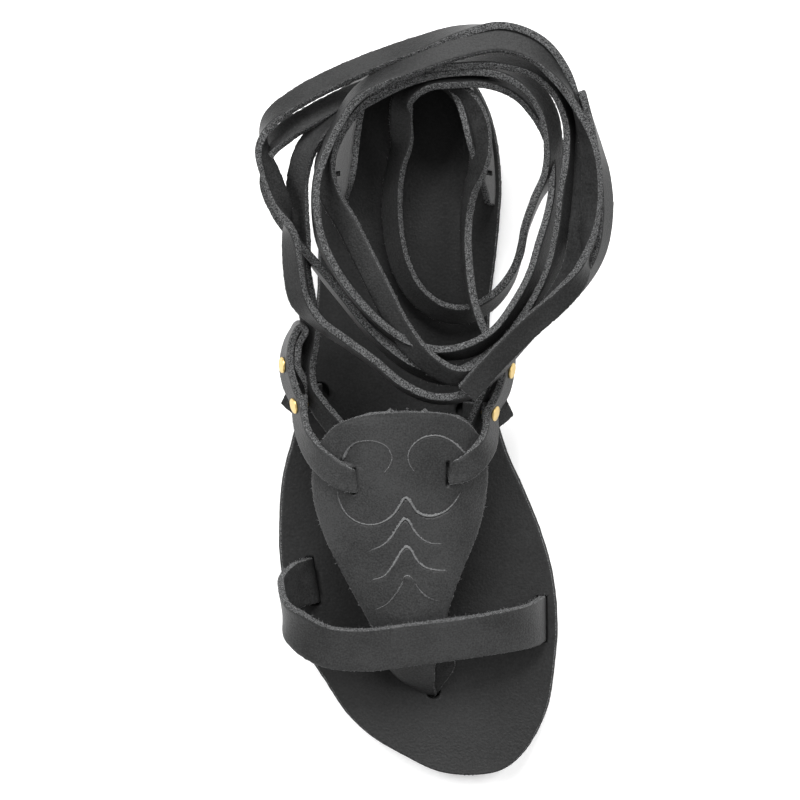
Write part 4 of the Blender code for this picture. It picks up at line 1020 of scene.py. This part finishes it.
def place(across, along, up):
    """Point in metres for shares of ball width, length and instep height over the bed."""
    return np.array([across * BALL_WIDTH, along * LENGTH, BED + up * INSTEP_HEIGHT])


def on_instep(rows, thickness, seats):
    """Strap rows, with those in seats laid on the instep piece: seats gives a row's share of the full rise."""
    laid = list(rows)
    for number, share in seats.items():
        x, y = rows[number][0] * BALL_WIDTH, rows[number][1] * LENGTH
        height = float(instep_height(x, y)) + ((VAMP_THICKNESS + thickness) / 2 - STRAP_BITE) * share
        laid[number] = (*rows[number][:2], (height - BED) / INSTEP_HEIGHT, *rows[number][3:])
    return laid


def strap_line(rows, count):
    """Centre line and width direction of a strap whose table rows are in shares."""
    smooth = smooth_rows(rows, count)
    centre = smooth[:, :3] * (BALL_WIDTH, LENGTH, INSTEP_HEIGHT) + (0, 0, BED)
    return centre, strap_lean(centre, smooth[:, 3:])


def strap_lean(centre, lean):
    return square_to(lean, unit(np.gradient(centre, axis=0)))


def strap_piece(centre, lean, width, thickness, grain_at, seed, rim=0.00028, fuzz=0.00009, narrow=0.0):
    """Leather strap along a line, sampled evenly. grain_at is a place on it and the direction its grain faces there.

    Its width is less at the start by the share narrow, which is gone about 8 mm along it.
    """
    samples, _ = even_rows(np.hstack([centre, lean]), STRAP_STEP)
    full = 1 - narrow * (1 - ease(np.arange(len(samples)) * STRAP_STEP / 0.008))
    width = (width - 2 * rim) * full + 2 * rim
    centre, lean = samples[:, :3], unit(samples[:, 3:])
    normal = np.cross(lean, unit(np.gradient(centre, axis=0)))
    row = int(np.argmin(np.linalg.norm(centre - np.asarray(grain_at[0]), axis=1)))
    if normal[row] @ np.asarray(grain_at[1]) < 0:
        lean = -lean
    return leather_arrays(strap_grid(centre, lean, width - 2 * rim), thickness, rim, seed, fuzz=fuzz)


# %% Toe strap
floor_up = (OUTSOLE_THICKNESS + CLEARANCE - BED) / INSTEP_HEIGHT
toe_rows = [(*row[:2], floor_up, *row[3:]) if row[2] < -0.05 else row for row in TOE_STRAP_ROWS]
toe_rows = on_instep(toe_rows, TOE_STRAP_THICKNESS, TOE_SEATS)
toe_centre, toe_lean = strap_line(toe_rows, 400)
toe_piece = strap_piece(toe_centre, toe_lean, TOE_STRAP_WIDTH, TOE_STRAP_THICKNESS,
                        (place(-0.02, -0.313, 0.56), (0, 0, 1)), 61)
toe_edge = toe_piece["edge"]
add_fibres(toe_piece, (toe_edge["outward"][:, 1] > 0.2) * 1.0, 10000, 0.0008, 62, grain_side=0.9)
add_fibres(toe_piece, (toe_edge["outward"][:, 1] <= 0.2) * 1.0, 2200, 0.0004, 63)
make_object("toe_strap", toe_piece, UPPER_LEATHER, "upper", "upper")


# %% Side straps and their rivet places
def side_strap_lines(side):
    """Centre line and lean of a side strap from slot to cut end, and the places of its rivets.

    The outer layer follows its rows. At the loop it turns through a half circle inward, comes back inside along the
    same rows, and passes under itself to its end.
    """
    rows = on_instep(SIDE_STRAPS[side], SIDE_STRAP_THICKNESS, SIDE_SEATS)
    step = 20
    centre, lean = strap_line(rows, step * (len(rows) - 1) + 1)
    run = unit(np.gradient(centre, axis=0))
    inward = 1 if side == "left" else -1
    facing = np.cross(run, lean)
    facing *= np.sign(facing[:, 0] * inward)[:, None]
    turn_gap, back_gap = FOLD_GAPS
    angle = np.linspace(0, math.pi, 17)[1:, None]
    turn = centre[-1] + run[-1] * turn_gap / 2 * np.sin(angle) + facing[-1] * turn_gap / 2 * (1 - np.cos(angle))
    spots_back = [int(step * k) for k in (8.4, 8, 7.5, 7)]
    back = [centre[k] + facing[k] * back_gap for k in spots_back]
    ends = SIDE_ENDS[side]
    folded = np.array([turn[-1], *back, *(place(*row[:3]) for row in ends)])
    folded_lean = np.array([lean[-1], *(lean[k] for k in spots_back), *(row[3:] for row in ends)])
    way_back = smooth_rows(np.hstack([folded, folded_lean]), 120)
    points = np.vstack([centre, turn[:-1], way_back[:, :3]])
    leans = np.vstack([lean, np.repeat(lean[-1:], len(turn) - 1, 0), way_back[:, 3:]])
    spots = {key: (centre[step * k], facing[step * k], lean[step * k]) for key, k in RIVET_ROWS.items()}
    return points, strap_lean(points, leans), spots


def stay_line(side, spot):
    """Centre line of a stay, from its insole hole up to the inner face of the side strap at its front rivet."""
    point, inward, down = spot
    top = point + inward * ((SIDE_STRAP_THICKNESS + STAY_THICKNESS) / 2 - STRAP_BITE)
    (across, along), *middle = STAYS[side]
    floor_z = float(bed_height(along * LENGTH + STAY_WIDTH)) + CLEARANCE
    foot = [(across * BALL_WIDTH, along * LENGTH, z) for z in (floor_z, floor_z + 1.4 * INSOLE_THICKNESS)]
    line = smooth_rows([*foot, *(place(*row) for row in middle),
                        *(top + down * RIVET_RADIUS * part for part in (1, 0, -1))], 100)
    return line, strap_lean(line, np.tile([0.0, 1.0, 0.0], (len(line), 1)))


RIVET_RADIUS, RIVET_HEAD, RIVET_SHANK_RADIUS = 0.0028, 0.0009, 0.0012
RIVET_BACK_RADIUS, RIVET_BACK_ROOM = 0.0018, 0.0008
rivet_spots = {}
for number, side in enumerate(("left", "right")):
    points, leans, spots = side_strap_lines(side)
    outward = -1.0 if side == "left" else 1.0
    piece = strap_piece(points, leans, SIDE_STRAP_WIDTH, SIDE_LEATHER,
                        (spots["front"][0], (outward, 0, 0)), 71 + number, narrow=0.18)
    add_fibres(piece, np.ones(len(piece["edge"]["place"])), 3500, 0.0006, 73 + number)
    make_object(f"side_strap_{side}", piece, UPPER_LEATHER, "upper", "upper")
    line, lean = stay_line(side, spots["front"])
    piece = strap_piece(line, lean, STAY_WIDTH, STAY_THICKNESS, (line[50], (outward, 0, 0.3)), 75 + number)
    add_fibres(piece, np.ones(len(piece["edge"]["place"])), 3500, 0.0006, 77 + number)
    make_object(f"stay_{side}", piece, UPPER_LEATHER, "upper", "upper")
    rivet_spots[side] = spots

# %% Holes in the insole
def box_outline(spot, lean, width, depth):
    """Rectangle on plan round a spot, its width along lean, anticlockwise."""
    way = unit(np.array([lean[0], lean[1]]))
    side = np.array([-way[1], way[0]])
    return np.array([spot[:2] + way * a * width / 2 + side * b * depth / 2
                     for a, b in ((-1, -1), (1, -1), (1, 1), (-1, 1))])


def round_outline(spot, radius, count=40):
    turn = np.linspace(0, 2 * math.pi, count + 1)[:-1]
    return np.array(spot[:2]) + radius * np.column_stack([np.cos(turn), np.sin(turn)])


SLOT_ROOM, THONG_RADIUS = 0.0004, 0.0026
thong_spot = from_picture([(433, 691, 1000 * BED)])[0, :2]
holes = {
    "toe_slot_left": box_outline(toe_centre[0], toe_lean[0], TOE_STRAP_WIDTH + 2 * SLOT_ROOM,
                                 TOE_STRAP_THICKNESS + 2 * SLOT_ROOM),
    "toe_slot_right": box_outline(toe_centre[-1], toe_lean[-1], TOE_STRAP_WIDTH + 2 * SLOT_ROOM,
                                  TOE_STRAP_THICKNESS + 2 * SLOT_ROOM),
    "thong_hole": round_outline(thong_spot, THONG_RADIUS),
}
for side, rows in STAYS.items():
    holes[f"stay_hole_{side}"] = round_outline((rows[0][0] * BALL_WIDTH, rows[0][1] * LENGTH), STAY_HOLE_RADIUS)
insole = cut_out(insole, [prism_cutter(name, outline, 0.0, 0.03) for name, outline in holes.items()])
print("holes:", sorted(holes), "insole faces", len(insole.data.polygons))


# %% [markdown]
# ## Rivets
# Flat brass rivets, peened over on the inside. Each is a turned shape: a profile of head, shank and inner cap,
# carried once round its axis.
# %% Rivets
def turned(profile, count=40):
    """Surface of a profile of radius and height turned round Z; its ends on the axis are single points."""
    profile = np.array(profile)
    turn = np.linspace(0, 2 * math.pi, count + 1)[:-1]
    rings = profile[1:-1]
    points = np.stack([rings[:, :1] * np.cos(turn), rings[:, :1] * np.sin(turn),
                       np.repeat(rings[:, 1:], count, 1)], axis=2).reshape(-1, 3)
    points = np.vstack([points, [[0, 0, profile[0, 1]], [0, 0, profile[-1, 1]]]])
    number = np.arange(len(rings) * count).reshape(len(rings), count)
    wrap = np.roll(number, -1, 1)
    quads = np.stack([number[:-1], number[1:], wrap[1:], wrap[:-1]], axis=-1).reshape(-1, 4)
    first, last = len(points) - 2, len(points) - 1
    fans = np.vstack([np.column_stack([np.full(count, first), number[0], wrap[0]]),
                      np.column_stack([np.full(count, last), wrap[-1], number[-1]])])
    return points, [quads, fans]


def rivet_profile(layers):
    """Radius and height from the head's crown to the inner cap's crown, +Z pointing inward."""
    outer = -SIDE_LEATHER / 2
    inner = layers - SIDE_STRAP_THICKNESS / 2 - RIVET_BACK_ROOM
    arc = np.linspace(0, math.pi / 2, 7)
    head = [(RIVET_RADIUS * (0.86 + 0.14 * math.sin(a)), outer - RIVET_HEAD * (0.35 + 0.55 * math.cos(a))) for a in arc]
    cap = [(RIVET_BACK_RADIUS * (0.75 + 0.25 * math.cos(a)), inner + RIVET_HEAD * (0.3 + 0.6 * math.sin(a))) for a in arc]
    return [(0.0, outer - RIVET_HEAD), (RIVET_RADIUS * 0.5, outer - RIVET_HEAD * 0.98), *head, (RIVET_RADIUS, outer),
            (RIVET_SHANK_RADIUS, outer), (RIVET_SHANK_RADIUS, inner), (RIVET_BACK_RADIUS, inner), *cap,
            (0.0, inner + RIVET_HEAD)]


stacks = {"front": SIDE_STRAP_THICKNESS + STAY_THICKNESS, "back": SIDE_STRAP_THICKNESS + FOLD_GAPS[1]}
for side, spots in rivet_spots.items():
    for key, (point, inward, _) in spots.items():
        points, faces = turned(rivet_profile(stacks[key]))
        turn = np.array(Vector(inward).to_track_quat("Z", "Y").to_matrix())
        points = points @ turn.T + point
        a, b, c = (points[faces[0][:, k]] for k in (0, 1, 2))
        if np.sum(np.cross(b - a, c - b) * (a - point - inward * np.sum((a - point) * inward, axis=1)[:, None])) < 0:
            faces = [part[:, ::-1] for part in faces]
        zero = np.zeros(len(points))
        make_object(f"rivet_{side}_{key}", {"points": points, "faces": faces, "cut": zero, "flesh": zero, "pale": zero}, BRASS,
                    "rivet", f"rivet_{side}_{key}")

# %% [markdown]
# ## The heel counter
# A low band of the same leather stands round the heel and leans in at its top. It follows the sole's outline, and a
# slit near each front end shows where a tie could go through.
# %% Counter
COUNTER_HEIGHT, COUNTER_THICKNESS, COUNTER_LEAN, COUNTER_SET_IN = 0.029, 0.0025, 0.008, 0.0035
COUNTER_SLIT_HEIGHT, COUNTER_SLIT_WIDTH = 0.0085, 0.0018
# Columns: way, height, lean
COUNTER_ROWS = (
    (0.00, 0.55, 0.80), (0.04, 0.86, 1.05), (0.10, 1.00, 1.20), (0.20, 1.05, 1.15), (0.32, 1.00, 0.90),
    (0.50, 0.96, 0.75), (0.70, 1.00, 0.90), (0.84, 0.98, 0.95), (0.93, 0.62, 0.62), (1.00, 0.30, 0.20),
)
COUNTER_FRONT = 0.285


def counter_grid(columns=25):
    """Middle surface: round the heel by one parameter, and up from the insole, leaning in, by the other."""
    outline = sole_outline(COUNTER_SET_IN)
    back = outline[outline[:, 1] > COUNTER_FRONT * LENGTH]
    start = int(np.argmin(back[:, 1] + 10 * (back[:, 0] > 0)))
    line = np.roll(back, -start, 0)
    if line[1][1] < line[0][1]:
        line = line[::-1]
    run = unit(np.gradient(line, axis=0))
    inward = np.column_stack([-run[:, 1], run[:, 0]])
    inward *= np.sign(np.sum(inward * (line.mean(0) - line), axis=1))[:, None]
    samples, _ = even_rows(np.hstack([line, inward]), 0.0007, places=2)
    way = np.linspace(0, 1, len(samples))
    table = smooth_rows(COUNTER_ROWS, 241, places=1)
    height = np.interp(way, table[:, 0], table[:, 1]) * COUNTER_HEIGHT
    lean = np.interp(way, table[:, 0], table[:, 2]) * COUNTER_LEAN
    up = np.linspace(0.0, 1.0, columns)[None, :]
    foot = bed_height(samples[:, 1]) + INSOLE_THICKNESS + CLEARANCE
    slope = lean[:, None] * up**1.4
    return np.stack([samples[:, :1] + samples[:, 2:3] * slope, samples[:, 1:2] + samples[:, 3:] * slope,
                     foot[:, None] + height[:, None] * up], axis=2), samples[:, 2:]


def slit_cutter(name, spot, across):
    """Box through the band, its depth along across."""
    depth = unit(np.array([across[0], across[1], -0.35]))
    turn = Vector(depth).to_track_quat("Z", "Y").to_matrix()
    half = np.array([COUNTER_SLIT_WIDTH, COUNTER_SLIT_HEIGHT, 4 * COUNTER_THICKNESS]) / 2
    box = np.array([(x, y, z) for z in (-1, 1) for x, y in ((-1, -1), (1, -1), (1, 1), (-1, 1))]) * half
    sides = [(k, (k + 1) % 4, 4 + (k + 1) % 4, 4 + k) for k in range(4)]
    return cutter(box @ np.array(turn).T + spot, [(3, 2, 1, 0), (4, 5, 6, 7), *sides], name)


counter_surface, counter_inward = counter_grid()
outward_test = np.cross(np.gradient(counter_surface, axis=1), np.gradient(counter_surface, axis=0))[..., :2]
if np.sum(outward_test * counter_inward[:, None]) > 0:
    counter_surface, counter_inward = counter_surface[::-1], counter_inward[::-1]
counter_piece = leather_arrays(counter_surface, COUNTER_THICKNESS, 0.0003, 81)
counter_edge = counter_piece["edge"]
add_fibres(counter_piece, (counter_edge["outward"][:, 2] > -0.2) * 1.0, 2500, 0.0005, 82)
counter = make_object("heel_counter", counter_piece, COUNTER_LEATHER, "upper", "heel_counter")
slits = []
for name, share in (("slit_left", 3 / 40), ("slit_right", 37 / 40)):
    row = int(share * (len(counter_surface) - 1))
    slits.append(slit_cutter(name, counter_surface[row, int(0.6 * 24)], counter_inward[row]))
counter = cut_out(counter, slits)
